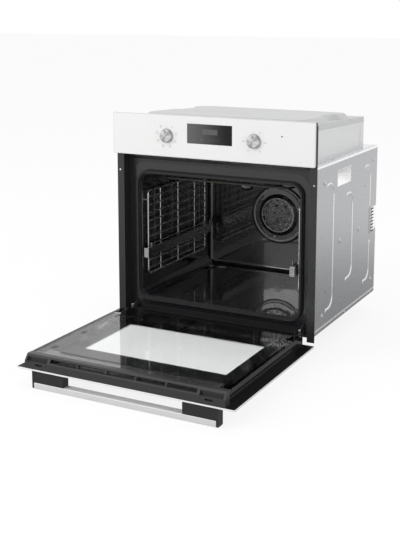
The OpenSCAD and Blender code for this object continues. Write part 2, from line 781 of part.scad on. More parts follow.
grill_pitch = 44;
grill_runs = 4;
grill_y = [rim_y + 86, cavity_back - 80];
grill_lead = 20;
grill_front = grill_y[0] - grill_pitch / 2 - grill_lead;

// Grill heater under the cavity roof: one tube, wound on both sides of its two legs
module grill_element() {
    r = grill_pitch / 2;
    outer = grill_leg + grill_runs * grill_pitch;
    color("#4a4a4c") for (s = [-1, 1]) on_side(s) {
        wire([grill_leg, cavity_back + 34, grill_z], [grill_leg, grill_y[0], grill_z], tube_d);
        for (i = [1 : grill_runs - 1]) wire([grill_leg + i * grill_pitch, grill_y[0], grill_z],
            [grill_leg + i * grill_pitch, grill_y[1], grill_z], tube_d);
        for (i = [0 : grill_runs - 1]) tube_bend(grill_leg + (i + 0.5) * grill_pitch,
            grill_y[i % 2], grill_z, r, i % 2 == 0 ? 180 : 0, 180);
        // outer run, turned into the link along the front
        wire([outer, grill_front + r, grill_z], [outer, grill_y[1], grill_z], tube_d);
        tube_bend(outer - r, grill_front + r, grill_z, r, 270, 90);
        wire([0, grill_front, grill_z], [outer - r, grill_front, grill_z], tube_d);
        // hangers to the cavity roof
        for (y = [grill_y[0] + 50, grill_y[1] - 40]) translate([grill_leg + grill_pitch - 2, y, grill_z])
            cube([4, 10, cavity_top - grill_z]);
    }
}

bottom_r = 60;
bottom_inset = 90;
bottom_lead = 130;
bottom_x = cavity_w / 2 - bottom_inset;
bottom_y = [rim_y + bottom_lead, cavity_back - bottom_inset];
bottom_leg = 20;

module bottom_element() {
    z = cavity_z - sheet - floor_step - tube_d / 2;
    x = bottom_x - bottom_r;
    rear = bottom_y[1] + bottom_r;
    color("#4a4a4c") {
        for (s = [-1, 1]) {
            wire([s * bottom_x, bottom_y[0], z], [s * bottom_x, bottom_y[1], z], tube_d);
            tube_bend(s * x, bottom_y[0], z, bottom_r, s < 0 ? 180 : 270, 90);
            tube_bend(s * x, bottom_y[1], z, bottom_r, s < 0 ? 90 : 0, 90);
            wire([s * x, rear, z], [s * bottom_leg, rear, z], tube_d);
            wire([s * bottom_leg, rear, z], [s * bottom_leg, cavity_back + 22, z], tube_d);
            translate([s * bottom_leg, rear, z]) sphere(d = tube_d);
        }
        wire([-x, bottom_y[0] - bottom_r, z], [x, bottom_y[0] - bottom_r, z], tube_d);
    }
}

module ring_element() {
    y = cavity_back + pocket_d - sheet - 6;
    color("#4a4a4c") translate([0, y, fan_axis_z]) rotate([90, 0, 0]) {
        rotate([0, 0, 90 + 10]) rotate_extrude(angle = 340) translate([ring_r, 0]) circle(d = tube_d);
    }
    color("#4a4a4c") for (s = [-1, 1]) wire([s * ring_leg, y, fan_axis_z + ring_r - 1],
        [s * ring_leg, y + 34, fan_axis_z + ring_r - 1], tube_d);
}

// ---------- convection fan ----------

dish_h = 12;
slot_gap = 26;          // degrees left solid between two slots of a ring, on the inner ring

module fan_cover() {
    r = fan_cover_r;
    grille_r = r - 13;
    pitch = (grille_r - 8) / grille_rings;
    color("#303136") translate([0, cavity_back, fan_axis_z]) rotate([90, 0, 0]) difference() {
        rotate_extrude($fn = 96) polygon([[0, dish_h - 1], [grille_r, dish_h - 1], [r - 6, 7], [r, 4], [r + 13, 4],
            [r + 13, 0], [r + 14, 0], [r + 14, 5], [r, 5], [r - 5, 8], [grille_r, dish_h], [0, dish_h]]);
        for (k = [1 : grille_rings]) {
            n = 4 + 2 * k;
            mid = 8 + (k - 0.5) * pitch;
            span = 360 / n - slot_gap * 18 / mid;
            for (i = [0 : n - 1]) rotate([0, 0, i * 360 / n + k * 17]) translate([0, 0, dish_h - 3])
                rotate_extrude(angle = span) translate([mid - pitch * 0.29, 0]) square([pitch * 0.58, 6]);
        }
        translate([0, 0, dish_h - 3]) cylinder(h = 6, d = 6);
    }
}

shaft_r = 4;

// Fan wheel on its shaft: a back disc with curved vanes
module convection_fan() {
    y0 = cavity_back + 16;
    color(steel) {
        difference() {
            translate([0, y0, fan_axis_z]) rotate([90, 0, 0]) cylinder(h = 1.2, r = fan_r);
            for (i = [0 : 5]) translate([0, y0 + 1, fan_axis_z]) rotate([0, i * 60, 0]) translate([26, 0, 0])
                rotate([90, 0, 0]) cylinder(h = 4, d = 14);
        }
        for (i = [0 : fan_blades - 1]) translate([0, y0, fan_axis_z]) rotate([0, i * 360 / fan_blades, 0])
            translate([fan_r - 22, -12, -0.5]) rotate([0, -24, 0]) cube([20, 12, 1]);
        translate([0, y0 + 52, fan_axis_z]) rotate([90, 0, 0]) cylinder(h = 60, r = shaft_r);
        translate([0, y0 - 2, fan_axis_z]) rotate([90, 0, 0]) cylinder(h = 8, r = 7, $fn = 6);
    }
}

module fan_motor() {
    y0 = cavity_back + pocket_d;
    color("#8a8c8e") difference() {
        union() {
            // mounting bracket and laminated stator
            facing(y0, 2) translate([0, fan_axis_z]) square([96, 44], center = true);
            for (s = [-1, 1]) translate([s * 40, y0 + 20, fan_axis_z]) rotate([90, 0, 0]) cylinder(h = 20, d = 8);
            facing(y0 + 18, 22) translate([0, fan_axis_z - 4]) round_rect(92, 62, 5);
            translate([0, y0 + 46, fan_axis_z]) rotate([90, 0, 0]) cylinder(h = 46, d = 30);
        }
        translate([0, y0 + 60, fan_axis_z]) rotate([90, 0, 0]) cylinder(h = 64, r = shaft_r + pin_gap);
    }
}

// ---------- side racks and rails ----------

rack_bend = 14;

module rack_frame() {
    for (y = [rack_y0, rack_y1]) wire([rack_x, y, rack_z0 + rack_bend], [rack_x, y, rack_z0 + rack_h - rack_bend], frame_wire);
    for (z = [rack_z0, rack_z0 + rack_h]) wire([rack_x, rack_y0 + rack_bend, z], [rack_x, rack_y1 - rack_bend, z], frame_wire);
    for (c = [[0, 0, 180], [1, 0, 270], [1, 1, 0], [0, 1, 90]])
        translate([rack_x, c[0] == 0 ? rack_y0 + rack_bend : rack_y1 - rack_bend,
            c[1] == 0 ? rack_z0 + rack_bend : rack_z0 + rack_h - rack_bend])
            rotate([90, 0, 90]) rotate([0, 0, c[2]]) rotate_extrude(angle = 90)
                translate([rack_bend, 0]) circle(d = frame_wire);
    // inner uprights
    for (f = [0.2, 0.5, 0.8]) wire([rack_x, rack_y0 + f * (rack_y1 - rack_y0), rack_z0],
        [rack_x, rack_y0 + f * (rack_y1 - rack_y0), rack_z0 + rack_h], frame_wire - 1);
}

module side_rack(side) {
    color(steel) on_side(side) {
        rack_frame();
        for (k = [1 : levels]) {
            z = rack_z0 + (k - 0.25) * level_pitch;
            wire([level_x, rack_y0 + 8, z], [level_x, rack_y1 - 8, z], level_wire);
            for (e = [[rack_y0 + 8, rack_y0], [rack_y1 - 8, rack_y1]]) {
                translate([level_x, e[0], z]) sphere(d = level_wire);
                wire([level_x, e[0], z], [rack_x, e[1], z], level_wire);
            }
        }
        // studs that hang the rack on the cavity wall
        for (y = [rack_y0, rack_y1]) translate([rack_x - 1, y, rack_z0 + rack_h - rack_bend - 12]) rotate([0, 90, 0])
            cylinder(h = cavity_w / 2 - rack_x + 1, d = 6);
    }
}

module fixed_rails() {
    z = rail_z - rail_h / 2;
    color("#a9abad") for (s = [-1, 1]) on_side(s) {
        sideways_c(rail_x - rail_depth, rail_x, rail_y0, rail_len, z, rail_h, 1.2);
        // spring clips over the wires above and below
        for (y = [rail_y0 + 26, rail_y0 + rail_len - 34]) {
            translate([rail_x - 0.8, y, z + rail_h - 1]) cube([0.8, 12, clip_z - z - rail_h + 2]);
            translate([rail_x - 0.8, y, clip_z]) cube([level_wire + 2.6, 12, 1]);
        }
    }
}

// C section that opens towards the cavity's middle
module sideways_c(x0, x1, y, len, z, h, t) {
    translate([0, y + len, 0]) rotate([90, 0, 0]) linear_extrude(len) polygon([[x1, z], [x1, z + h], [x0, z + h],
        [x0, z + h - t], [x1 - t, z + h - t], [x1 - t, z + t], [x0, z + t], [x0, z]]);
}

module rail_slider(side) {
    t = 1.2;
    play = 0.4;
    z0 = rail_z - rail_h / 2 + t + play;
    h = rail_h - 2 * t - 2 * play;
    x_out = rail_x - t - play;
    cover_x = rail_x - rail_depth - play;
    color("#9b9da0") on_side(side) {
        // runner inside the fixed member, its web and the wide cover strip
        translate([x_out - 3, rail_y0 + 2, z0]) cube([3, rail_len - 4, h]);
        translate([cover_x - eps, rail_y0 + 2, z0 + h / 2 - 4]) cube([x_out - 2 - cover_x, rail_len - 4, 8]);
        translate([cover_x - t, rail_y0 - 4, rail_z - rail_h / 2 - 1]) cube([t, rail_len + 6, rail_h + 2]);
        // front stop plate and the rear tab that hold a tray
        translate([cover_x - t, rail_y0 - 5, rail_z - rail_h / 2 - 1]) cube([14, t, rail_h + 2]);
        translate([cover_x - t, rail_y0 + 14, rail_z + rail_h / 2]) cube([t, 6, 13]);
        translate([cover_x - t, rail_y0 + rail_len - 8, rail_z + rail_h / 2]) cube([t, 8, 12]);
    }
}

// ---------- hidden services ----------

// Mineral wool wrapped round the cavity
module insulation() {
    t = 15;
    lift = 11;
    y0 = recess_d + 4;
    color("#d9c98f") difference() {
        intersection() {
            facing(y0, cavity_back - 12 - y0) translate([0, cavity_mid]) round_rect(cavity_w + 2 * (t + 1.3), cavity_h + 2 * (t + lift), cavity_r + t);
            translate([-half_body, 0, 0]) cube([body_w, body_d, side_h]);
        }
        facing(y0 - 1, body_d) translate([0, cavity_mid]) round_rect(cavity_w + 2 * (sheet + 0.3), cavity_h + 2 * lift, cavity_r + 1);
        for (s = [-1, 1]) on_side(s) translate([half_body - 30, grip_y[0] - 6, grip_z[0] - 6])
            cube([31, grip_y[1] - grip_y[0] + 12, grip_z[1] - grip_z[0] + 12]);
    }
}

blower_y = 330;
blower_z = side_h + sheet + 48;
blower_r = 30;
blower_l = 240;

// Scroll of the cross-flow cooling fan, open towards the front and below
module blower_housing() {
    z0 = side_h + sheet;
    r = blower_r + 5;
    color(zinc) {
        sideways(-blower_l / 2 - 6, blower_l + 12) {
            difference() {
                translate([blower_y, blower_z]) circle(r + sheet);
                translate([blower_y, blower_z]) circle(r);
                translate([blower_y - 2 * r, z0 - 20]) square([2 * r, blower_z - z0 + 30]);
                translate([blower_y - 20, z0 - 20]) square([40, blower_z - z0]);
            }
            translate([blower_y + r, z0]) square([sheet, blower_z - z0]);
        }
        for (s = [-1, 1]) difference() {
            sideways(s * (blower_l / 2 + 6) - sheet / 2, sheet) {
                translate([blower_y, blower_z]) circle(r + sheet);
                translate([blower_y - 20, z0]) square([20 + r + sheet, blower_z - z0]);
            }
            sideways(s * (blower_l / 2 + 6) - 2, 4) translate([blower_y, blower_z]) circle(d = 12);
        }
        // foot plate on the deck
        translate([-blower_l / 2 - 6, blower_y + 12, z0]) cube([blower_l + 12, 40, sheet]);
    }
}

impeller_vanes = 20;

module blower_impeller() {
    color("#9fa2a4") {
        for (x = [-blower_l / 2, 0, blower_l / 2 - 1]) sideways(x, 1) translate([blower_y, blower_z]) difference() {
            circle(blower_r);
            if (x == 0) circle(blower_r - 8);
        }
        for (i = [0 : impeller_vanes - 1]) translate([-blower_l / 2, blower_y, blower_z])
            rotate([i * 360 / impeller_vanes, 0, 0]) translate([0, blower_r - 7, 0]) rotate([30, 0, 0])
                cube([blower_l, 7, 0.8]);
        wire([-blower_l / 2 - 12, blower_y, blower_z], [-blower_l / 2 + 1, blower_y, blower_z], 6);
        wire([blower_l / 2 - 1, blower_y, blower_z], [blower_l / 2 + 52, blower_y, blower_z], 6);
    }
}

module blower_motor() {
    z0 = side_h + sheet;
    x = blower_l / 2 + 14;
    color("#77797c") difference() {
        union() {
            sideways(x, 26) translate([blower_y, blower_z - 4]) round_rect(60, 52, 5);
            sideways(x - 6, 44) translate([blower_y, blower_z]) circle(15);
            translate([x + 4, blower_y - 28, z0]) cube([18, 56, blower_z - 29 - z0]);
        }
        wire([x - 8, blower_y, blower_z], [x + 60, blower_y, blower_z], 6 + 2 * pin_gap);
    }
}

cable_x = -200;
cable_drop = 42;         // of the cable inlet below the top edge of the carcass
cable_z = side_h - cable_drop;

module terminal_block() {
    color("#ddddd8") difference() {
        union() {
            translate([cable_x - 32, body_d - sheet - 30, cable_z - 20]) cube([64, 30, 40]);
            for (i = [-2 : 2]) translate([cable_x + i * 11, body_d - sheet - 16, cable_z + 20]) cylinder(h = 4, d = 7);
        }
        translate([cable_x, body_d, cable_z]) rotate([90, 0, 0]) cylinder(h = 14, d = 14);
    }
}

// Cross-head screws of the casing, the rear, the ledges and the fan cover
module screw(p, dir, d = 8) {
    translate(p) rotate(dir) {
        cylinder(h = 1.2, r = d / 2);
        translate([0, 0, 1.2 - eps]) cylinder(h = 1, r1 = d / 2, r2 = d / 2 - 1.4);
    }
}

module fasteners() {
    out = half_body;
    color(steel) {
        for (s = [-1, 1]) {
            for (p = side_screws) screw([s * (out + 1.2), p[0], p[1]], [0, s * 90, 0]);
            for (y = [192, body_d - 114]) screw([s * (out - 11), y, side_h + sheet + 1.4], [0, 0, 0], 7);
            for (z = [60, side_h - 40]) screw([s * (out - 9), body_d, z], [-90, 0, 0], 7);
            for (y = [279, body_d - 43]) screw([s * (out + hem_t), y, hem_h / 2], [0, s * 90, 0], 6);
        }
        for (a = [20, 140, 260]) screw([(fan_cover_r + 6) * cos(a), cavity_back - 5, fan_axis_z + (fan_cover_r + 6) * sin(a)],
            [90, 0, 0], 6);
    }
}

// ---------- hinges ----------

receptacle_y = [recess_d, recess_d + 32];

// Sheet boxes behind the hinge slots, each with a cross pin for the arm's hook
module hinge_receptacles() {
    color(steel) for (s = [-1, 1]) on_side(s) {
        for (x = [hinge_x - 8, hinge_x + 8 - 1.5])
            translate([x, receptacle_y[0], 4]) cube([1.5, 32, 36]);
        translate([hinge_x - 8, receptacle_y[1] - 1.5, 4]) cube([16, 1.5, 36]);
        wire([hinge_x - 8, recess_d + 18, 22], [hinge_x + 8, recess_d + 18, 22], 6);
    }
}

lock_y = 16;
lock_z = 22;
lock_pin = 4;
lock_t = 1.1;
lock_front = 0.4;       // front face of the stirrup

// Outline of a hinge arm: pivot boss, low neck, shoulder in the recess and hook in the receptacle
module arm_outline() {
    difference() {
        union() {
            translate([hinge_y, hinge_z]) circle(4);
            polygon([[hinge_y - 2.7, hinge_z + 2.8], [-3, 7.5], [lock_front + 2.2, 8.5], [lock_front + 2.2, 26],
                [5, 29], [lock_y, 29], [recess_d - 6, 34], [recess_d - 4, 34.5], [recess_d + 26, 34.5],
                [recess_d + 26, 26], [recess_d + 2, 24], [recess_d - 4, 20], [22, 8], [12, 1.2], [0, 1.2],
                [hinge_y + 3, hinge_z - 2.7]]);
            translate([recess_d + 21, 17]) square([5, 14]);
        }
        translate([hinge_y, hinge_z]) circle(pin_d / 2 + pin_gap);
        translate([lock_y, lock_z]) circle(lock_pin / 2 + pin_gap);
    }
}

module hinge_arms() {
    color(steel) for (s = [-1, 1]) on_side(s) sideways(hinge_x - arm_t / 2, arm_t) arm_outline();
}

// Stirrup that locks the hinge when the door is lifted off
module hinge_lock(side) {
    inner = arm_t / 2 + touch;
    color(steel) on_side(side) {
        for (x = [hinge_x - inner - lock_t, hinge_x + inner]) sideways(x, lock_t) {
            translate([lock_y, lock_z]) circle(3.6);
            polygon([[lock_y, lock_z + 3.6], [5, 29], [lock_front + 0.8, 28.8], [lock_front, 27.5], [lock_front, 10],
                [lock_front + 4, 10], [6, 17], [lock_y, lock_z - 3.6]]);
        }
        translate([hinge_x - inner - lock_t, lock_front, 10]) cube([2 * (inner + lock_t), 1.2, 17.5]);
        wire([hinge_x - inner - lock_t / 2, lock_y, lock_z], [hinge_x + inner + lock_t / 2, lock_y, lock_z], lock_pin);
    }
}

cassette_top = 168;

// Channels in the door that hold the springs, with the hinge pins riveted through them
module hinge_cassettes() {
    y0 = glass_back;
    color(steel) door_open() for (s = [-1, 1]) on_side(s) {
        difference() {
            union() {
                for (x = [hinge_x - cassette_gap - cassette_t, hinge_x + cassette_gap])
                    sideways(x, cassette_t) {
                        translate([hinge_y, hinge_z]) circle(4.2);
                        translate([y0, hinge_z]) square([8.4, 12]);
                        translate([y0, 5.5]) square([22, cassette_top - 5.5]);
                    }
                translate([hinge_x - cassette_gap - cassette_t, y0, 14])
                    cube([2 * (cassette_gap + cassette_t), cassette_t, cassette_top - 14]);
            }
            wire([hinge_x - 8, hinge_y, hinge_z], [hinge_x + 8, hinge_y, hinge_z], pin_d);
        }
        wire([hinge_x - cassette_gap - cassette_t - 1, hinge_y, hinge_z],
            [hinge_x + cassette_gap + cassette_t + 1, hinge_y, hinge_z], pin_d);
    }
}

spring_r = 2.9;
spring_groove = 0.9;
spring_end = 8;         // from a cross pin to the coil
spring_coils = 18;

// Close-coiled tension springs in the cassettes
module hinge_springs() {
    z0 = 31;
    z1 = cassette_top - 5;
    pitch = (z1 - z0 - 2 * spring_end) / spring_coils;
    mid_y = glass_back + 11;
    color("#8d8f91") door_open() for (s = [-1, 1]) on_side(s) {
        translate([hinge_x, mid_y, z0 + spring_end]) rotate_extrude($fn = 24) polygon(concat([[0, 0]],
            [for (i = [0 : spring_coils - 1], e = [0, 1])
                [spring_r - (e == 0 ? spring_groove : 0), (i + e / 2) * pitch]],
            [[spring_r - spring_groove, spring_coils * pitch], [0, spring_coils * pitch]]));
        // end hooks and the cross pins they hang on
        for (e = [[z0, z0 + spring_end + 1], [z1 - spring_end - 1, z1]])
            wire([hinge_x, mid_y, e[0]], [hinge_x, mid_y, e[1]], 2);
        for (z = [z0, z1]) wire([hinge_x - cassette_gap, mid_y, z], [hinge_x + cassette_gap, mid_y, z], 3);
    }
}

// ---------- door ----------

module door_glass_outer() {
    h = door_top + door_drop;
    color(white) door_open() facing(glass_y, glass_t) translate([0, door_top - h / 2]) round_rect(front_w, h, 3);
}

middle_y = glass_back + 11;
middle_t = 3;
middle_w = 2 * (hinge_x - cassette_gap - cassette_t - 5);

module door_glass_middle() {
    color(glassy, 0.5) door_open() facing(middle_y, middle_t) translate([0, (pane_z + pane_top) / 2])
        round_rect(middle_w, pane_h - 24, 2);
}

module door_glass_inner() {
    color(glassy, 0.5) door_open() facing(inner_y - glass_t, glass_t) translate([0, (pane_z + pane_top) / 2])
        round_rect(door_body_w, pane_h, 2);
}

profile_t = 1.2;
cap_z = 22;              // lower end of the side profiles' corner caps

// Side profile: a channel between the outer and the inner pane with a groove along its web
module door_profile(side) {
    y0 = glass_back;
    y1 = inner_y - glass_t;
    mid = (y0 + y1) / 2;
    z1 = trim_top - 22;
    x0 = hinge_x + 7;
    color(black) door_open() on_side(side) difference() {
        union() {
            translate([door_side - profile_t, y0, lip_h]) cube([profile_t, y1 - y0, z1 - lip_h]);
            translate([x0, y0, pane_z + 2]) cube([door_side - x0, profile_t, z1 - pane_z - 2]);
            translate([x0, y1 - profile_t, pane_z]) cube([door_side - x0, profile_t, z1 - pane_z]);
            // corner cap level with the pane's face, beside the hinge
            translate([x0, y1 - profile_t, cap_z]) cube([door_side - x0, glass_t + profile_t, pane_z - cap_z]);
            translate([door_side - 4, mid - 4, pane_z]) cube([4 - eps, 8, z1 - pane_z]);
        }
        translate([door_side - 2.2, mid - 2.4, pane_z + 4]) cube([3, 4.8, z1 - pane_z - 8]);
    }
}

trim_slots = 5;
trim_slot_pitch = 81;
trim_rib = 3;            // rib between two slots
trim_lip = 19;           // height of the cap's front face
tongue_z = pane_top - 34;

// Moulded cap along the door's upper edge with its air slots and end pockets
module door_top_trim() {
    y0 = glass_back;
    y1 = inner_y;
    y_in = y1 - glass_t;
    w = door_body_w + 2;
    color(black) door_open() difference() {
        union() {
            sideways(-w / 2, w) polygon([[y0, trim_top - 22], [y0, trim_top + 1], [y0 + 3, trim_top + 2],
                [y0 + trim_lip, trim_top + 1], [y1 - 1, trim_top - 10], [y1, trim_top - 12], [y1, pane_top],
                [y_in, pane_top], [y_in, trim_top - 22]]);
            // tongue that carries the baffle behind the inner pane
            translate([-w / 2 + 30, y_in - 4, tongue_z]) cube([w - 60, 2.5, trim_top - 21 - tongue_z]);
        }
        // air slots
        for (i = [0 : trim_slots - 1]) translate([(i - trim_slots / 2) * trim_slot_pitch + trim_rib / 2, 0, 0])
            translate([0, y0 + trim_lip + 2, trim_top - 16]) cube([trim_slot_pitch - trim_rib, y1 - y0 - trim_lip - 6, 20]);
        // end pockets with a release slot each
        for (s = [-1, 1]) {
            translate([s * (w / 2 - 35) - 30, y0 + trim_lip - 1, trim_top - 9]) cube([60, y1 - y0 - trim_lip - 4, 20]);
            translate([s * (w / 2 - 41) - 10, y0 + 9, trim_top - 6]) cube([20, 5, 20]);
        }
        // hollow underside
        translate([-w / 2 + 8, y0 + 3, trim_top - 23]) cube([w - 16, y_in - y0 - 9, 11]);
    }
}

// Channel along the door's lower edge with its air inlet slots
module door_bottom_profile() {
    w = 2 * (hinge_x - 9);
    y1 = inner_y;
    y_in = y1 - glass_t;
    t = 1.4;
    color(black) door_open() difference() {
        sideways(-w / 2, w) polygon([[glass_back, lip_h], [y1 - 3, lip_h], [y1, lip_h + 3],
            [y1, pane_z], [y_in, pane_z], [y_in, pane_z + 8], [y_in - t, pane_z + 8],
            [y_in - t, lip_h + 6], [y1 - 7, lip_h + t], [glass_back + t, lip_h + t],
            [glass_back + t, lip_h + 14], [glass_back, lip_h + 14]]);
        for (i = [-5 : 5]) translate([i * 40 - 13, glass_back + 6, lip_h - 2]) cube([26, 7, 6]);
    }
}

baffle_t = 1.5;
baffle_h = 9;
baffle_w = door_body_w - 138;

// Bright air baffle behind the inner pane
module door_baffle() {
    color(steel) door_open() translate([-baffle_w / 2, inner_y - glass_t - baffle_t, tongue_z + 2])
        cube([baffle_w, baffle_t, baffle_h]);
}

// Plastic blocks that hold the middle pane between the outer and inner panes
module pane_spacers() {
    y_in = inner_y - glass_t;
    color("#3a3a3c") door_open() for (s = [-1, 1], z = [pane_z + 12, (pane_z + pane_top) / 2 - 10, pane_top - 64])
        on_side(s) difference() {
            translate([middle_w / 2 - 10, glass_back, z]) cube([13, y_in - glass_back, 22]);
            translate([middle_w / 2 - 12, middle_y, z - 1]) cube([12, middle_t, 24]);
        }
}

// Rounded flat bar
module handle_bar() {
    color(steel) door_open() translate([-handle_l / 2, bar_y + bar_t / 2, bar_top - bar_h / 2]) rotate([90, 0, 90])
        linear_extrude(handle_l) round_rect(bar_t, bar_h, 2.5);
}

bracket_end = 5;

// Brackets between the glass and the bar, wrapped round the bar's ends
module handle_brackets() {
    x1 = handle_l / 2 + 0.2;
    color(black) door_open() for (s = [-1, 1]) on_side(s) {
        translate([x1 - bracket_l, bar_y + bar_t, bar_top - bar_h + 1]) cube([bracket_l, glass_y - bar_y - bar_t, bar_h - 1.4]);
        sideways(x1, bracket_end) translate([(bar_y + glass_y) / 2 + 0.2, bar_top - bar_h / 2])
            round_rect(glass_y - bar_y - 0.4, bar_h + 0.6, 3);
        translate([x1, glass_y - 4, bar_top - bar_h + 1]) cube([bracket_end, 4, bar_h - 2]);
    }
}

front_frame();
air_deflector();
cavity_rim();
cavity_liner();
cavity_rear();
door_seal();
side_panel(-1);  // side_panel_left
side_panel(1);  // side_panel_right
rear_panel();
base_panel();
deck_plate();
upper_housing();
top_cover();
control_glass();
control_housing();
display_module();
indicator_lens();
function_switch();
thermostat();
knob_bezels();
lamp_housing();
lamp_glass();
grill_element();
bottom_element();
ring_element();
fan_cover();
fan_motor();
side_rack(-1);  // side_rack_left
side_rack(1);  // side_rack_right
fixed_rails();
insulation();
blower_housing();
blower_motor();
terminal_block();
hinge_receptacles();
hinge_arms();
fasteners();
door_glass_outer();
door_glass_middle();
door_glass_inner();
door_profile(-1);  // door_profile_left
door_profile(1);  // door_profile_right
door_top_trim();
door_bottom_profile();
door_baffle();
pane_spacers();
handle_bar();
handle_brackets();
hinge_cassettes();
hinge_springs();
knob(-knob_x);  // knob_left
knob(knob_x);  // knob_right
knob_sleeve(-knob_x);  // knob_sleeve_left
knob_sleeve(knob_x);  // knob_sleeve_right
convection_fan();
blower_impeller();
rail_slider(-1);  // rail_slider_left
rail_slider(1);  // rail_slider_right
hinge_lock(-1);  // hinge_lock_left
hinge_lock(1);  // hinge_lock_right
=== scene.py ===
"""Built-in wall oven, door open: camera, studio, finishes and printed details. Metres, +Z up."""
import json
import math

import bpy
import numpy as np
from mathutils import Matrix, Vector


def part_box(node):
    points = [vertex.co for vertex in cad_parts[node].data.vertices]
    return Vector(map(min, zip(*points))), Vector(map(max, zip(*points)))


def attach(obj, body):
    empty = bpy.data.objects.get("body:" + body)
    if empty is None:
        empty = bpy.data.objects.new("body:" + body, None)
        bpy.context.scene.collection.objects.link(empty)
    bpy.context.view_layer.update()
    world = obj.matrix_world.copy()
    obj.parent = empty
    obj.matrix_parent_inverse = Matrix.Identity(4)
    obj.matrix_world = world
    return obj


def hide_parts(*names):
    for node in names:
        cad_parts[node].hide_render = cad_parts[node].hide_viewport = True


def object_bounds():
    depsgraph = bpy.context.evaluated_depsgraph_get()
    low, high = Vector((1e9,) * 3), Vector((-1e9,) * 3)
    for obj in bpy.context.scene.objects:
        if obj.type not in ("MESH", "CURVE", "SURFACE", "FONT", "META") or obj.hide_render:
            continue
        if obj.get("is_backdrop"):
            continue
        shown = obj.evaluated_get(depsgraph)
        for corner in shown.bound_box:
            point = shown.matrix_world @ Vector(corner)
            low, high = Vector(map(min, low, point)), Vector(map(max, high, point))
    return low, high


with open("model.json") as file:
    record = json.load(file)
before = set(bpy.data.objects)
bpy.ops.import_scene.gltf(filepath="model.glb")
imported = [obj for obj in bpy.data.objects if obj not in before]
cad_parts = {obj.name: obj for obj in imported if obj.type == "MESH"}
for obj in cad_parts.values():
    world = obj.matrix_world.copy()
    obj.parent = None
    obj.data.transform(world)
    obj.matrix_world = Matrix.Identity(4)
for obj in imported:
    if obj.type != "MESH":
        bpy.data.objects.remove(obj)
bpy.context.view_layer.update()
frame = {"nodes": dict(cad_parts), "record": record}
nodes = frame["nodes"]

# ---------- camera ----------

EYE = (1.1864, -2.3266, 0.8527)
YAW, PITCH = 0.4843, -0.1648
LENS, SENSOR, SHIFT_Y = 67.13, 36.0, -0.1706
FAR_CLIP = 200.0


def set_camera():
    """The view runs along (-sin yaw cos pitch, cos yaw cos pitch, sin pitch); its right side stays level."""
    level = math.cos(PITCH)
    ahead = np.array([-math.sin(YAW) * level, math.cos(YAW) * level, math.sin(PITCH)])
    right = np.array([math.cos(YAW), math.sin(YAW), 0.0])
    up = np.cross(right, ahead)
    camera = bpy.data.objects.new("camera", bpy.data.cameras.new("camera"))
    camera.data.lens = LENS
    camera.data.sensor_width = SENSOR
    camera.data.shift_y = SHIFT_Y
    camera.data.clip_end = FAR_CLIP
    turn = np.eye(4)
    turn[:3, 0], turn[:3, 1], turn[:3, 2], turn[:3, 3] = right, up, -ahead, EYE
    camera.matrix_world = Matrix(turn.tolist())
    bpy.context.scene.collection.objects.link(camera)
    bpy.context.scene.camera = camera


# ---------- node boards ----------

class Board:
    """A shader tree with short calls to add, set and wire its nodes."""

    def __init__(self, tree):
        self.tree = tree
        self.place = None

    def put(self, socket, value):
        """Wires another node's output to a socket, or sets the socket's own value."""
        if isinstance(value, bpy.types.NodeSocket):
            self.tree.links.new(value, socket)
        else:
            socket.default_value = value

    def add(self, kind, settings=None, **sockets):
        """New node of a kind, with its settings and with its inputs by name."""
        node = self.tree.nodes.new("ShaderNode" + kind)
        for key, value in (settings or {}).items():
            setattr(node, key, value)
        for key, value in sockets.items():
            self.put(node.inputs[key.replace("_", " ")], value)
        return node

    def sum(self, kind, a, b=0.0, c=0.0, clamp=False):
        """Result of one arithmetic step on up to three values."""
        node = self.add("Math", {"operation": kind, "use_clamp": clamp})
        for socket, value in zip(node.inputs, (a, b, c)):
            self.put(socket, value)
        return node.outputs[0]

    def ramp(self, value, low, high, at_low=0.0, at_high=1.0, smooth=True):
        """Goes from at_low to at_high while value goes from low to high, and stays level outside."""
        node = self.add("MapRange", {"interpolation_type": "SMOOTHSTEP" if smooth else "LINEAR"})
        for socket, number in zip(node.inputs, (value, low, high, at_low, at_high)):
            self.put(socket, number)
        return node.outputs[0]

    def blend(self, share, first, second):
        """Colour mix of two colours or colour sockets."""
        node = self.add("Mix", {"data_type": "RGBA"})
        self.put(node.inputs[0], share)
        self.put(node.inputs[6], first if isinstance(first, bpy.types.NodeSocket) else (*first, 1.0))
        self.put(node.inputs[7], second if isinstance(second, bpy.types.NodeSocket) else (*second, 1.0))
        return node.outputs[2]

    def object_point(self):
        """Object coordinates, from one node for the whole board."""
        if self.place is None:
            self.place = self.add("TexCoord").outputs["Object"]
        return self.place

    def axes(self):
        """X, Y and Z of the object coordinates."""
        node = self.add("SeparateXYZ")
        self.put(node.inputs[0], self.object_point())
        return node.outputs

    def slab(self, value, low, high, soft=0.0002):
        """1 between low and high, 0 outside, with a soft border."""
        rise = self.ramp(value, low - soft, low + soft)
        fall = self.ramp(value, high - soft, high + soft, 1.0, 0.0)
        return self.sum("MULTIPLY", rise, fall)


def new_group(name, inputs, outputs):
    """Empty node group with named sockets; returns its board, its input sockets and its output node."""
    tree = bpy.data.node_groups.new(name, "ShaderNodeTree")
    for label, kind, value in inputs:
        tree.interface.new_socket(label, in_out="INPUT", socket_type=kind).default_value = value
    for label, kind in outputs:
        tree.interface.new_socket(label, in_out="OUTPUT", socket_type=kind)
    board = Board(tree)
    entry = tree.nodes.new("NodeGroupInput")
    leave = tree.nodes.new("NodeGroupOutput")
    return board, entry.outputs, leave.inputs


FLOAT, VECTOR = "NodeSocketFloat", "NodeSocketVector"
WEAR_GAIN, WEAR_SPOTS = 5.0, 220.0      # how fast an edge wears bare, and how fine its spots are
CRYSTAL_WARP = 0.008                    # how far noise pushes the borders of the zinc crystals
RING_PITCH = 2600.0                     # lathe rings per metre of radius


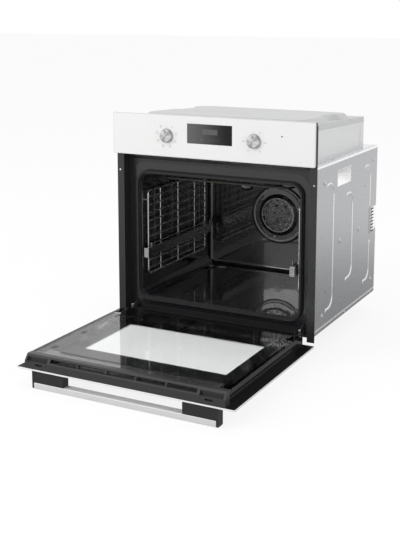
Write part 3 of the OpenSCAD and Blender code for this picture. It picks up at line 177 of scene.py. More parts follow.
def make_grain():
    """Noise on object coordinates stretched by Scale: Value is its level about 0.5."""
    board, given, result = new_group("grain", [("Scale", VECTOR, (100, 100, 100)), ("Detail", FLOAT, 3.0)],
                                     [("Value", FLOAT)])
    stretch = board.add("VectorMath", {"operation": "MULTIPLY"})
    board.put(stretch.inputs[0], board.object_point())
    board.put(stretch.inputs[1], given["Scale"])
    noise = board.add("TexNoise", Vector=stretch.outputs[0], Scale=1.0, Detail=given["Detail"])
    board.put(result["Value"], noise.outputs[0])
    return board.tree


def make_edges():
    """Rounded normal from a bevel of the given radius; Wear is 1 - n.n' stretched, broken up by noise."""
    board, given, result = new_group("edges", [("Radius", FLOAT, 0.0008)],
                                     [("Wear", FLOAT), ("Normal", VECTOR)])
    bevel = board.add("Bevel", {"samples": 4}, Radius=given["Radius"])
    turn = board.add("VectorMath", {"operation": "DOT_PRODUCT"})
    board.put(turn.inputs[0], bevel.outputs[0])
    board.put(turn.inputs[1], board.add("NewGeometry").outputs["Normal"])
    noise = board.add("TexNoise", Vector=board.object_point(), Scale=WEAR_SPOTS, Detail=4.0)
    bare = board.sum("MULTIPLY", board.sum("SUBTRACT", 1.0, turn.outputs["Value"]), WEAR_GAIN, clamp=True)
    spots = board.ramp(noise.outputs[0], low=0.35, high=0.62, at_low=0.35)
    board.put(result["Wear"], board.sum("MULTIPLY", bare, spots))
    board.put(result["Normal"], bevel.outputs[0])
    return board.tree


def make_dust():
    """Thin dust where the surface looks up: Mask is the upward share times patchy noise times Amount."""
    board, given, result = new_group("dust", [("Amount", FLOAT, 0.1)], [("Mask", FLOAT)])
    up = board.add("SeparateXYZ")
    board.put(up.inputs[0], board.add("TexCoord").outputs["Normal"])
    patch = board.add("TexNoise", Vector=board.object_point(), Scale=9.0, Detail=5.0)
    lying = board.ramp(up.outputs[2], low=0.3, high=0.95)
    cloud = board.ramp(patch.outputs[0], low=0.35, high=0.7, at_low=0.3)
    board.put(result["Mask"], board.sum("MULTIPLY", board.sum("MULTIPLY", lying, cloud), given["Amount"]))
    return board.tree


def make_spangle():
    """Zinc crystals: each cell of a Voronoi pattern, whose borders are warped by noise, has its own Tone."""
    board, given, result = new_group("spangle", [("Scale", FLOAT, 160.0)], [("Tone", FLOAT)])
    warp = board.add("TexNoise", Vector=board.object_point(), Scale=70.0, Detail=2.0)
    push = board.add("VectorMath", {"operation": "SCALE"}, Scale=CRYSTAL_WARP)
    board.put(push.inputs[0], warp.outputs[1])
    warped = board.add("VectorMath", {"operation": "ADD"})
    board.put(warped.inputs[0], board.object_point())
    board.put(warped.inputs[1], push.outputs[0])
    cells = board.add("TexVoronoi", Vector=warped.outputs[0], Scale=given["Scale"])
    tone = board.add("SeparateXYZ")
    board.put(tone.inputs[0], cells.outputs["Color"])
    board.put(result["Tone"], tone.outputs[0])
    return board.tree


def make_smears():
    """Faint wiped smears on glossy faces: Value rises from 0 to 1 in soft slanted streaks."""
    board, given, result = new_group("smears", [("Scale", FLOAT, 8.0)], [("Value", FLOAT)])
    lean = board.add("Mapping", Rotation=(0.4, 0.5, 0.9), Scale=(1.0, 4.0, 1.6))
    board.put(lean.inputs[0], board.object_point())
    noise = board.add("TexNoise", Vector=lean.outputs[0], Scale=given["Scale"], Detail=6.0, Distortion=0.6)
    board.put(result["Value"], board.ramp(noise.outputs[0], low=0.45, high=0.75))
    return board.tree


def make_turned():
    """Lathe marks about an axis along Y through (Centre X, Centre Z): Rings by radius, a painted sheen of
    light by angle, and the Radius itself."""
    board, given, result = new_group("turned", [("Centre X", FLOAT, 0.0), ("Centre Z", FLOAT, 0.52)],
                                     [("Rings", FLOAT), ("Fan", FLOAT), ("Radius", FLOAT)])
    spot = board.axes()
    dx = board.sum("SUBTRACT", spot[0], given["Centre X"])
    dz = board.sum("SUBTRACT", spot[2], given["Centre Z"])
    square = board.sum("ADD", board.sum("MULTIPLY", dx, dx), board.sum("MULTIPLY", dz, dz))
    radius = board.sum("SQRT", square)
    angle = board.sum("ARCTAN2", dz, dx)
    along = board.sum("MULTIPLY", radius, RING_PITCH)
    rings = board.add("TexNoise", {"noise_dimensions": "1D"}, W=along, Scale=1.0, Detail=2.0)
    # painted sheen: two broad lobes of light round the axis with five faint ones over them
    lobes = board.sum("COSINE", board.sum("MULTIPLY_ADD", angle, 2.0, 1.3))
    fine = board.sum("COSINE", board.sum("MULTIPLY_ADD", angle, 5.0, 0.4))
    broad = board.sum("MULTIPLY_ADD", lobes, 0.32, 0.5)
    board.put(result["Rings"], rings.outputs[0])
    board.put(result["Fan"], board.sum("MULTIPLY_ADD", fine, 0.18, broad))
    board.put(result["Radius"], radius)
    return board.tree


GROUPS = {}


def use(board, name, **values):
    """Places one of the shared effects with its own values and returns its outputs."""
    node = board.add("Group")
    node.node_tree = GROUPS[name]
    for key, value in values.items():
        board.put(node.inputs[key.replace("_", " ")], value)
    return node.outputs


# ---------- finishes ----------

# axis height, inner and outer radius of the painted highlight on the pressed ridge round the fan and on the
# grille's dished edge
FAN_RIDGE_HIGHLIGHT, FAN_DISH_HIGHLIGHT = (0.229, 0.0795, 0.0835), (0.229, 0.0510, 0.0535)
HIGHLIGHT_SOFT = 0.001
# places of the side sheets painted brighter as painted light, y and z: carry ramp, louvre strip, rolled top
# edge, hem
LIT_PATCHES = (((0.203, 0.311), (0.379, 0.424)), ((0.504, 0.549), (0.200, 0.270)),
        ((0.030, 0.549), (0.4465, 0.4530)), ((0.030, 0.549), (0.0095, 0.0125)))
LIT_SOFT = 0.002
BORDER, BORDER_SOFT = 0.0022, 0.0008            # border round the control panel's face that is painted slightly darker
REFLECTION_LEFT, REFLECTION_RIGHT = -0.078, 0.062         # where the painted reflection leaves the smoked display glass lightest and darkest
LCD_X, LCD_Z = (-0.0215, 0.0235), (0.5295, 0.5435)      # liquid-crystal window
KNOB_X = 0.129                                  # the knobs' axes stand this far from the middle
GLASS_TINT = (0.99, 0.995, 0.992)


class Finish:
    """One material: a board, its Principled shader and the values every finish shares."""

    def __init__(self, name, colour, rough, metal=0.0, coat=0.0, coat_rough=0.03, specular=0.5, ior=1.5):
        self.material = bpy.data.materials.new(name)
        self.material.use_nodes = True
        tree = self.material.node_tree
        tree.nodes.clear()
        self.board = Board(tree)
        self.shader = self.board.add("BsdfPrincipled", Metallic=metal, IOR=ior)
        self.shader.inputs["Coat Weight"].default_value = coat
        self.shader.inputs["Coat Roughness"].default_value = coat_rough
        self.shader.inputs["Specular IOR Level"].default_value = specular
        self.out = self.board.add("OutputMaterial")
        self.board.put(self.out.inputs[0], self.shader.outputs[0])
        self.colour = colour
        self.rough = rough
        self.normal = None

    def tint(self, share, colour):
        """Lays another colour over the surface where share is above 0."""
        self.colour = self.board.blend(share, self.colour, colour)
        return self

    def tone(self, value, amount):
        """Multiplies the colour by 1 + amount * (value - 0.5)."""
        level = self.board.sum("MULTIPLY_ADD", value, amount, 1.0 - amount / 2)
        node = self.board.add("VectorMath", {"operation": "SCALE"})
        self.board.put(node.inputs[0], self.colour)
        self.board.put(node.inputs["Scale"], level)
        self.colour = node.outputs[0]
        return self

    def roughen(self, value, amount):
        """Adds amount * (value - 0.5) to the roughness."""
        step = self.board.sum("MULTIPLY_ADD", value, amount, -amount / 2)
        self.rough = self.board.sum("ADD", step, self.rough, clamp=True)
        return self

    def bump(self, height, depth, strength=1.0):
        """Leans the normal by a height of the given depth in metres, over any bump laid before."""
        node = self.board.add("Bump", Strength=strength, Distance=depth, Height=height)
        if self.normal is not None:
            self.board.put(node.inputs["Normal"], self.normal)
        self.normal = node.outputs[0]
        return self

    def grain(self, scale, tone=0.0, rough=0.0, depth=0.0, detail=3.0):
        """One stretched noise for tone, roughness and depth, each left out where it is 0."""
        value = use(self.board, "grain", Scale=scale, Detail=detail)[0]
        if tone:
            self.tone(value, tone)
        if rough:
            self.roughen(value, rough)
        if depth:
            self.bump(value, depth)
        return self

    def edges(self, radius, colour=None, amount=1.0):
        """Rounds the edges; with a colour it also lays that over them where they are worn."""
        outputs = use(self.board, "edges", Radius=radius)
        self.normal = outputs["Normal"]
        if colour:
            self.tint(self.board.sum("MULTIPLY", outputs["Wear"], amount), colour)
        return self

    def dust(self, amount, colour=(0.5, 0.49, 0.47)):
        """Dull pale film where the surface looks up."""
        mask = use(self.board, "dust", Amount=amount)[0]
        self.roughen(self.board.sum("ADD", mask, 0.5), 0.6)
        return self.tint(mask, colour)

    def smears(self, rough, scale=8.0):
        """Streaks that are rougher than the gloss round them."""
        wiped = use(self.board, "smears", Scale=scale)[0]
        return self.roughen(self.board.sum("ADD", wiped, 0.5), rough)

    def done(self):
        """Wires colour, roughness and normal to the shader."""
        value = self.colour if isinstance(self.colour, bpy.types.NodeSocket) else (*self.colour, 1.0)
        self.board.put(self.shader.inputs["Base Color"], value)
        self.board.put(self.shader.inputs["Roughness"], self.rough)
        if self.normal is not None:
            self.board.put(self.shader.inputs["Normal"], self.normal)
        return self.material


def clear_pane(name, tint, ior, rough=0.02, haze=0.05):
    """Clear glass that lets lamp light through to what is behind it; coated panes have a low index."""
    pane = Finish(name, tint, rough, ior=ior)
    pane.shader.inputs["Transmission Weight"].default_value = 1.0
    pane.smears(rough=haze, scale=5.0).done()
    board = pane.board
    through = board.add("BsdfTransparent", Color=(0.93, 0.94, 0.94, 1.0))
    switch = board.add("MixShader")
    board.put(switch.inputs[0], board.add("LightPath").outputs["Is Shadow Ray"])
    board.put(switch.inputs[1], pane.shader.outputs[0])
    board.put(switch.inputs[2], through.outputs[0])
    board.put(pane.out.inputs[0], switch.outputs[0])
    return pane.material


def white_pane(name, border=None):
    """White back-painted glass: deep gloss, a cooler tone at its cut edges and faint wiped smears. Outside
    border, the X and Z limits of the printed face, the glass is painted slightly darker."""
    pane = Finish(name, (0.86, 0.86, 0.857), rough=0.2, coat=0.5)
    side = pane.board.add("SeparateXYZ")
    pane.board.put(side.inputs[0], pane.board.add("TexCoord").outputs["Normal"])
    cut = pane.board.ramp(pane.board.sum("ABSOLUTE", side.outputs[0]), low=0.6, high=0.9)
    pane.tint(pane.board.sum("MULTIPLY", cut, 0.5), (0.62, 0.65, 0.64))
    if border:
        x, _, z = pane.board.axes()
        (x_low, x_high), (z_low, z_high) = border
        inside = pane.board.sum("MULTIPLY", pane.board.slab(x, x_low, x_high, BORDER_SOFT),
                                pane.board.slab(z, z_low, z_high, BORDER_SOFT))
        pane.tint(pane.board.sum("SUBTRACT", 1.0, inside), (0.74, 0.74, 0.74))
    pane.edges(radius=0.0006)
    return pane.grain((30, 30, 30), tone=0.015, rough=0.04).smears(rough=0.06).done()


def ceramic_print():
    """Black ceramic print baked on the inside of the door's outer pane: dense, nearly without gloss."""
    film = Finish("ceramic_print", (0.006, 0.006, 0.0065), rough=0.4, specular=0.1)
    return film.grain((40, 40, 40), tone=0.1, rough=0.05).done()


def zinc(name, colour, lit=()):
    """Galvanised sheet: crystal tones, a soft rolling grain and bright edges, partly bare metal and partly a
    painted highlight. Patches in lit are painted brighter as painted light, and the flanks of the beads,
    where the normal leaves the X axis, get a painted highlight."""
    sheet = Finish(name, colour, rough=0.27, metal=0.88)
    # bright edges: partly bare worn metal and partly a painted highlight
    sheet.edges(radius=0.0004, colour=(0.97, 0.97, 0.98), amount=0.6)
    cells = use(sheet.board, "spangle", Scale=150.0)
    sheet.tone(cells["Tone"], 0.08).roughen(cells["Tone"], 0.05)
    sheet.grain((14, 14, 160), tone=0.05, rough=0.05, detail=4.0)
    if lit:
        _, y, z = sheet.board.axes()
        # painted light: each listed patch is painted brighter
        for (y_low, y_high), (z_low, z_high) in lit:
            spot = sheet.board.sum("MULTIPLY", sheet.board.slab(y, y_low, y_high, LIT_SOFT),
                                   sheet.board.slab(z, z_low, z_high, LIT_SOFT))
            sheet.tint(spot, (1.0, 1.0, 1.0))
        # painted highlight: the bead and dimple flanks, where the normal leaves the X axis, are painted paler
        lean = sheet.board.add("SeparateXYZ")
        sheet.board.put(lean.inputs[0], sheet.board.add("TexCoord").outputs["Normal"])
        flat = sheet.board.sum("ABSOLUTE", lean.outputs[0])
        drawn = sheet.board.ramp(flat, low=0.80, high=0.985, at_low=1.0, at_high=0.0)
        sheet.tint(sheet.board.sum("MULTIPLY", drawn, 0.9), (1.0, 1.0, 1.0))
    return sheet.dust(0.04).done()


def light_sheet(name, colour):
    """Smooth coated sheet of the upper housing: nearly plain, with rolling marks and bright folds."""
    sheet = Finish(name, colour, rough=0.38, metal=0.12)
    sheet.edges(radius=0.0005, colour=(0.96, 0.96, 0.96), amount=0.8)
    cells = use(sheet.board, "spangle", Scale=95.0)
    sheet.tone(cells["Tone"], 0.035)
    sheet.grain((5, 120, 5), tone=0.03, rough=0.06, detail=4.0)
    return sheet.dust(0.08).done()


def black_sheet(name, colour):
    """Black powder-painted sheet: fine orange peel, worn folds and a little dust."""
    sheet = Finish(name, colour, rough=0.30)
    sheet.edges(radius=0.0006, colour=(0.20, 0.20, 0.20), amount=0.6)
    sheet.grain((900, 900, 900), depth=0.00004, rough=0.05, detail=2.0)
    sheet.grain((12, 12, 12), tone=0.25, rough=0.08)
    return sheet.dust(0.05, (0.12, 0.12, 0.12)).done()


def enamel(name, gloss, coat=1.0, rim=0.8, ring=None):
    """Black vitreous enamel: wet gloss over faint waves, with pale flecks. gloss is the coat's refractive
    index, rim how much the edges pale, partly wear and partly a painted highlight, and ring the axis
    height and two radii of a pressed ridge that is given a painted highlight."""
    glaze = Finish(name, (0.014, 0.0145, 0.0165), rough=0.25, coat=coat, coat_rough=0.025, ior=1.45)
    glaze.shader.inputs["Coat IOR"].default_value = gloss
    # pale worn edges, partly wear and partly a painted highlight along them
    glaze.edges(radius=0.0006, colour=(0.35, 0.35, 0.36), amount=rim)
    board = glaze.board
    if ring:
        # painted highlight: a pale ring on the pressed ridge
        axis_z, inner, outer = ring
        radius = use(board, "turned", Centre_X=0.0, Centre_Z=axis_z)["Radius"]
        painted_gleam = board.sum("MULTIPLY", board.slab(radius, inner, outer, HIGHLIGHT_SOFT), 0.8)
        glaze.tint(painted_gleam, (0.80, 0.80, 0.82))
    flecks = board.add("TexVoronoi", Vector=board.object_point(), Scale=420.0)
    spot = board.ramp(flecks.outputs["Distance"], low=0.10, high=0.17, at_low=1.0, at_high=0.0)
    rare = board.add("SeparateXYZ")
    board.put(rare.inputs[0], flecks.outputs["Color"])
    few = board.ramp(rare.outputs[0], low=0.80, high=0.84)
    glaze.tint(board.sum("MULTIPLY", board.sum("MULTIPLY", spot, few), 0.35), (0.20, 0.20, 0.21))
    glaze.grain((22, 22, 22), tone=0.3, rough=0.08, depth=0.00008, detail=1.0)
    board.put(glaze.shader.inputs["Coat Normal"], glaze.normal)
    return glaze.dust(0.02, (0.15, 0.15, 0.15)).done()


def steel(name, colour, rough, grain, tone=0.10, edge=0.0004, metal=1.0):
    """Metal with drawn grain: noise stretched along the drawing direction."""
    drawn = Finish(name, colour, rough, metal=metal)
    drawn.edges(radius=edge, colour=(0.9, 0.9, 0.9), amount=0.4)
    drawn.grain(grain, tone=tone, rough=0.10, depth=0.00001)
    return drawn.grain((30, 30, 30), tone=0.06, rough=0.06).done()


def turned_steel(name, centre_x, centre_z):
    """Knob faces turned on a lathe: fine rings, and a soft fan of light round the axis painted into the
    colour as a sheen.
    """
    face = Finish(name, (0.52, 0.52, 0.52), rough=0.26, metal=0.9)
    face.edges(radius=0.0007, colour=(0.92, 0.92, 0.92), amount=0.7)
    marks = use(face.board, "turned", Centre_X=centre_x, Centre_Z=centre_z)
    # painted highlight: the sheen by angle brightens and darkens the colour round the axis
    face.tone(marks["Fan"], 0.75).tone(marks["Rings"], 0.12).roughen(marks["Rings"], 0.12)
    return face.bump(marks["Rings"], depth=0.00002, strength=0.5).done()


def plastic(name, colour, rough, edge_tone, depth=0.00003, dust=0.04):
    """Moulded plastic with a spark-eroded texture and slightly paler edges."""
    part = Finish(name, colour, rough, specular=0.45)
    part.edges(radius=0.0006, colour=edge_tone, amount=0.5)
    part.grain((1400, 1400, 1400), depth=depth, rough=0.05, detail=2.0)
    part.grain((16, 16, 16), tone=0.12, rough=0.08)
    return part.dust(dust, tuple(0.35 + 0.5 * c for c in colour)).done()


def gloss_black():
    """Black stoved lacquer of the door's lower profile and sides, as smooth as the pane beside it."""
    film = Finish("gloss_black", (0.005, 0.005, 0.0055), rough=0.06, ior=1.36)
    film.edges(radius=0.0008, colour=(0.12, 0.12, 0.12), amount=0.5)
    return film.grain((30, 30, 30), tone=0.2, rough=0.04).smears(rough=0.03).done()


def display_face():
    """Smoked display glass with a painted reflection that makes it lighter towards its left end, and a dim
    liquid-crystal window.
    """
    face = Finish("display", (0.008, 0.008, 0.009), rough=0.12, specular=0.2)
    board = face.board
    x, _, z = board.axes()
    # painted reflection: a pale tint that grows towards the glass's left end
    face.tint(board.ramp(x, low=REFLECTION_RIGHT, high=REFLECTION_LEFT), (0.13, 0.13, 0.131))
    window = board.sum("MULTIPLY", board.slab(x, *LCD_X), board.slab(z, *LCD_Z))
    face.tint(board.sum("MULTIPLY", window, 0.85), (0.125, 0.125, 0.125))
    return face.grain((60, 60, 60), tone=0.05, rough=0.04).smears(rough=0.05).done()


def hot_tube():
    """Heating element: oxidised tube with straw and grey heat tints along it."""
    tube = Finish("heater", (0.060, 0.058, 0.056), rough=0.45, metal=0.5)
    tube.edges(radius=0.0006, colour=(0.2, 0.2, 0.2), amount=0.3)
    tube.grain((25, 25, 25), tone=0.5, rough=0.15)
    band = use(tube.board, "grain", Scale=(9, 9, 9), Detail=2.0)[0]
    tube.tint(tube.board.ramp(band, low=0.5, high=0.7, at_high=0.35), (0.13, 0.10, 0.075))
    return tube.grain((900, 900, 900), depth=0.00003).done()


def wool():
    """Pressed mineral wool: tangled fibres, yellow-grey, no shine."""
    mat = Finish("wool", (0.56, 0.49, 0.30), rough=0.95, specular=0.1)
    mat.grain((500, 90, 500), tone=0.5, depth=0.0012, detail=6.0)
    return mat.grain((60, 60, 60), tone=0.4, depth=0.002).done()


def laminations():
    """Motor stack: thin punched plates pressed together, oiled, with a rust blush."""
    stack = Finish("motor", (0.30, 0.31, 0.32), rough=0.42, metal=0.8)
    stack.edges(radius=0.0005, colour=(0.6, 0.6, 0.6), amount=0.4)
    stack.grain((1200, 40, 40), tone=0.5, rough=0.15, depth=0.00005)
    blush = use(stack.board, "grain", Scale=(40, 40, 40), Detail=5.0)[0]
    return stack.tint(stack.board.ramp(blush, low=0.62, high=0.78, at_high=0.35), (0.28, 0.15, 0.08)).done()


def rubber():
    """Oven seal: woven glass cord in dark silicone, matt with a fine cross weave."""
    seal = Finish("seal", (0.022, 0.022, 0.023), rough=0.62, specular=0.4)
    seal.edges(radius=0.0012, colour=(0.07, 0.07, 0.07), amount=0.5)
    weave = seal.board.add("TexMagic", {"turbulence_depth": 2}, Vector=seal.board.object_point(), Scale=900.0)
    seal.bump(weave.outputs[1], depth=0.0002, strength=0.5)
    return seal.grain((40, 40, 40), tone=0.3, rough=0.1).done()


def ink(name, colour):
    """Screen-printed ink: even colour, slightly matt, with a faint mottle."""
    return Finish(name, colour, rough=0.5, specular=0.3).grain((800, 800, 800), tone=0.15, rough=0.1).done()


def make_finishes():
    """Builds the shared effects and then every finish, by name."""
    for name, maker in (("grain", make_grain), ("edges", make_edges), ("dust", make_dust),
                        ("spangle", make_spangle), ("smears", make_smears), ("turned", make_turned)):
        GROUPS[name] = maker()
    knob_z = float(sum(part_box("knob_left")[i][2] for i in (0, 1)) / 2)
    low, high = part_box("control_glass")
    panel_face = ((low.x + BORDER, high.x - BORDER), (low.z + BORDER, high.z - BORDER))
    return {
        "white_glass": white_pane("white_glass"),
        "white_panel": white_pane("white_panel", panel_face),
        "ceramic_print": ceramic_print(),
        "clear_glass": clear_pane("clear_glass", GLASS_TINT, ior=1.3),
        "coated_glass": clear_pane("coated_glass", GLASS_TINT, ior=1.03, rough=0.01, haze=0.02),
        "lamp_glass": clear_pane("lamp_glass", (0.96, 0.96, 0.95), ior=1.45, rough=0.12),
        "black_paint": black_sheet("black_paint", (0.020, 0.020, 0.021)),
        "baffle_paint": black_sheet("baffle_paint", (0.070, 0.070, 0.072)),
        "enamel": enamel("enamel", gloss=1.65),
        "rim_enamel": enamel("rim_enamel", gloss=1.4, coat=0.6),
        "rear_enamel": enamel("rear_enamel", gloss=1.65, ring=FAN_RIDGE_HIGHLIGHT),
        "grille_enamel": enamel("grille_enamel", gloss=1.6, rim=0.9, ring=FAN_DISH_HIGHLIGHT),
        "fan_alloy": steel("fan_alloy", (0.95, 0.95, 0.955), rough=0.42, grain=(200, 200, 200), metal=0.35),
        "galvanised": zinc("galvanised", (0.44, 0.445, 0.46)),
        "deck_zinc": zinc("deck_zinc", (0.80, 0.805, 0.815)),
        "side_zinc": zinc("side_zinc", (0.44, 0.445, 0.46), lit=LIT_PATCHES),
        "light_sheet": light_sheet("light_sheet", (0.74, 0.745, 0.75)),
        # painted shade: the top cover gets a darker copy of the upper housing's sheet
        "shaded_cover_sheet": light_sheet("shaded_cover_sheet", (0.58, 0.583, 0.588)),
        "bright_steel": steel("bright_steel", (0.62, 0.62, 0.63), rough=0.28, grain=(300, 300, 300)),
        "rail_steel": steel("rail_steel", (0.46, 0.46, 0.47), rough=0.26, grain=(900, 12, 900)),
        "chrome_wire": steel("chrome_wire", (0.64, 0.65, 0.66), rough=0.26, grain=(60, 60, 60), edge=0.0003,
                             metal=0.85),
        "knob_steel": steel("knob_steel", (0.66, 0.66, 0.66), rough=0.28, grain=(400, 400, 400)),
        "knob_left_steel": turned_steel("knob_left_steel", -KNOB_X, knob_z),
        "knob_right_steel": turned_steel("knob_right_steel", KNOB_X, knob_z),
        "handle_steel": steel("handle_steel", (0.80, 0.79, 0.79), rough=0.38, grain=(10, 900, 900), tone=0.06,
                              edge=0.001, metal=0.3),
        "spring_steel": steel("spring_steel", (0.40, 0.40, 0.41), rough=0.35, grain=(200, 200, 200)),
        "black_plastic": plastic("black_plastic", (0.020, 0.020, 0.021), rough=0.42,
                                 edge_tone=(0.10, 0.10, 0.10)),
        "trim_plastic": plastic("trim_plastic", (0.033, 0.033, 0.034), rough=0.34,
                                edge_tone=(0.24, 0.24, 0.24)),
        "gloss_black": gloss_black(),
        "white_plastic": plastic("white_plastic", (0.72, 0.72, 0.70), rough=0.45,
                                 edge_tone=(0.82, 0.82, 0.80)),
        "switch_resin": plastic("switch_resin", (0.66, 0.60, 0.46), rough=0.55, edge_tone=(0.75, 0.70, 0.56)),
        "display": display_face(),
        "lens": plastic("lens", (0.05, 0.03, 0.026), rough=0.15, edge_tone=(0.1, 0.06, 0.05), depth=0.00001,
                        dust=0.0),
        "seal": rubber(),
        "heater": hot_tube(),
        "wool": wool(),
        "motor": laminations(),
        "dark_ink": ink("dark_ink", (0.34, 0.34, 0.345)),
        "knob_ink": ink("knob_ink", (0.05, 0.05, 0.05)),
        "pale_ink": ink("pale_ink", (0.22, 0.22, 0.22)),
    }


# ---------- which node has which finish ----------

SLOT_OF = {row["node"]: row["material_slot"] for row in frame["record"]["subparts"]}
OWN_FINISH = {"knob_left": "knob_left_steel", "knob_right": "knob_right_steel",
              "control_glass": "white_panel", "cavity_rim": "rim_enamel", "cavity_rear": "rear_enamel",
              "fan_cover": "grille_enamel", "convection_fan": "fan_alloy", "deck_plate": "deck_zinc",
              "door_glass_middle": "coated_glass", "top_cover": "shaded_cover_sheet", "side_panel_left": "side_zinc",
              "side_panel_right": "side_zinc", "door_top_trim": "trim_plastic", "door_baffle": "baffle_paint",
              "door_bottom_profile": "gloss_black", "door_profile_left": "gloss_black",
              "door_profile_right": "gloss_black"}


def paint(finishes):
    """Gives every CAD node its own finish, or else that of its record slot."""
    for name, piece in nodes.items():
        for holder in piece.material_slots:
            holder.material = finishes[OWN_FINISH.get(name, SLOT_OF[name])]


def put_mesh(name, points, faces, material, body, slot):
    """Makes a piece of the object from point and face arrays and hands it to its body."""
    mesh = bpy.data.meshes.new(name)
    mesh.from_pydata(np.asarray(points, float).tolist(), [], [list(map(int, f)) for f in faces])
    mesh.materials.append(material)
    mesh.validate()
    mesh.update()
    piece = bpy.data.objects.new(name, mesh)
    bpy.context.scene.collection.objects.link(piece)
    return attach(piece, body)


# ---------- shapes worked out with numpy ----------

def rounded_loop(half_x, half_y, radius, steps=6):
    """Points round a rectangle: each corner is a quarter circle of the radius, centred radius in from both
    sides, and the loop runs anticlockwise seen from above."""
    turns = np.linspace(0.0, math.pi / 2, steps + 1)
    corners = ((1, 1), (-1, 1), (-1, -1), (1, -1))
    quarters = [np.column_stack([side_x * (half_x - radius) + radius * np.cos(turns + k * math.pi / 2),
                                 side_y * (half_y - radius) + radius * np.sin(turns + k * math.pi / 2)])
                for k, (side_x, side_y) in enumerate(corners)]
    return np.vstack(quarters)


def stacked_loops(rows, closed):
    """Skin through loops: row j is a rounded rectangle (half_x, half_y, radius, z, centre), and a quad joins
    each two neighbours of row j to the same two of row j + 1. Closed joins the last row to the first and
    turns the faces so that the signed volume is positive; else the rows rise and both ends are capped."""
    loops = [rounded_loop(half_x, half_y, radius) + centre for half_x, half_y, radius, _, centre in rows]
    count = len(loops[0])
    points = np.vstack([np.column_stack([loop, np.full(count, row[3])]) for loop, row in zip(loops, rows)])
    j, i = np.meshgrid(np.arange(len(rows) if closed else len(rows) - 1), np.arange(count), indexing="ij")
    k, n = (j + 1) % len(rows), (i + 1) % count
    quads = np.stack([j * count + i, j * count + n, k * count + n, k * count + i], axis=-1).reshape(-1, 4)
    faces = quads.tolist()
    if not closed:
        faces.append(list(range(count))[::-1])
        faces.append(list(range((len(rows) - 1) * count, len(rows) * count)))
        return points, faces
    a, b, c, d = (points[quads[:, corner]] for corner in range(4))
    volume = np.einsum("ij,ij->i", a, np.cross(b, c) + np.cross(c, d)).sum()
    return points, [face[::-1] for face in faces] if volume < 0 else faces


def strokes(lines, width, front, depth):
    """Flat bars for printed lines: each segment is widened by width / 2 to all sides, laid in the X-Z plane
    at front and given a thickness along Y."""
    segments = np.asarray(lines, float)
    along = segments[:, 1] - segments[:, 0]
    along /= np.linalg.norm(along, axis=1)[:, None]
    side = np.column_stack([-along[:, 1], along[:, 0]]) * width / 2
    end = along * width / 2
    flat = np.stack([segments[:, 0] - side - end, segments[:, 1] - side + end,
                     segments[:, 1] + side + end, segments[:, 0] + side - end], axis=1)
    near = np.concatenate([flat[..., :1], np.full((*flat.shape[:2], 1), front), flat[..., 1:]], axis=-1)
    far = near + np.array([0.0, depth, 0.0])
    points = np.concatenate([near, far], axis=1).reshape(-1, 3)
    base = np.arange(len(segments))[:, None, None] * 8
    box = np.array([[0, 1, 2, 3], [7, 6, 5, 4], [0, 4, 5, 1], [1, 5, 6, 2], [2, 6, 7, 3], [3, 7, 4, 0]])
    return points, (base + box).reshape(-1, 4).tolist()


def ring_lines(x, z, radius, steps=16, start=0.0, end=2 * math.pi):
    """Chords of a circle about (x, z) between two angles."""
    turn = np.linspace(start, end, steps + 1)
    rim = np.column_stack([x + radius * np.cos(turn), z + radius * np.sin(turn)])
    return [(rim[i], rim[i + 1]) for i in range(steps)]


def numerals(text, x, z, size, front, depth):
    """Mesh of a plain number: its outline lies in the X-Z plane, centred on (x, z), with a thickness."""
    curve = bpy.data.curves.new("numeral", "FONT")
    curve.body, curve.size = text, size
    curve.align_x, curve.align_y = "CENTER", "CENTER"
    curve.extrude, curve.resolution_u = depth / 2, 2
    holder = bpy.data.objects.new("numeral", curve)
    bpy.context.scene.collection.objects.link(holder)
    shown = holder.evaluated_get(bpy.context.evaluated_depsgraph_get())
    mesh = bpy.data.meshes.new_from_object(shown)
    flat = np.zeros(len(mesh.vertices) * 3)
    mesh.vertices.foreach_get("co", flat)
    flat = flat.reshape(-1, 3)
    points = np.column_stack([x + flat[:, 0], front + depth / 2 - flat[:, 2], z + flat[:, 1]])
    faces = [list(face.vertices) for face in mesh.polygons]
    bpy.data.objects.remove(holder)
    bpy.data.meshes.remove(mesh)
    return points, faces


def gather(parts):
    """Joins several (points, faces) pairs into one."""
    points, faces, base = [], [], 0
    for some, their in parts:
        points.append(some)
        faces += [[index + base for index in face] for face in their]
        base += len(some)
    return np.vstack(points), faces


# ---------- printed details ----------

INK = 0.00006           # thickness of printed ink
LINE = 0.0006
TOP_TICK, SIZE_TICK = (0.0235, 0.0262), (0.0222, 0.0234)       # radii of the ticks on top and at the numbers
NUMERAL_SIZE = 0.0052
NUMBERS = (("50", 38, 0.029), ("100", 94, 0.0315), ("150", 147, 0.0305), ("200", 214, 0.0295),
           ("250", 268, 0.0300))       # text, angle in degrees, radius
FUNCTIONS = ("lamp", "bottom", "top bottom", "top fan", "bottom fan", "fan", "grill", "grill fan")
FIRST_FUNCTION, FUNCTION_STEP, FUNCTION_RADIUS = 36.0, 41.2, 0.0300
SIGN_HALF, SIGN_INNER = 0.0029, 0.55    # half side of a function sign, and how much of it the inside takes
POINTER, POINTER_WIDTH = (0.0105, 0.0150), 0.0011
TOUCH_Z, TOUCH_LINE = 0.5155, 0.00045


def around(x, z, degrees, radius):
    """Point at a clockwise angle from the top of a dial."""
    turn = math.radians(degrees)
    return x + radius * math.sin(turn), z + radius * math.cos(turn)


def square_lines(x, z, half):
    """Four sides of a square about (x, z)."""
    ring = [(x - half, z - half), (x + half, z - half), (x + half, z + half), (x - half, z + half)]
    return [(ring[i], ring[(i + 1) % 4]) for i in range(4)]


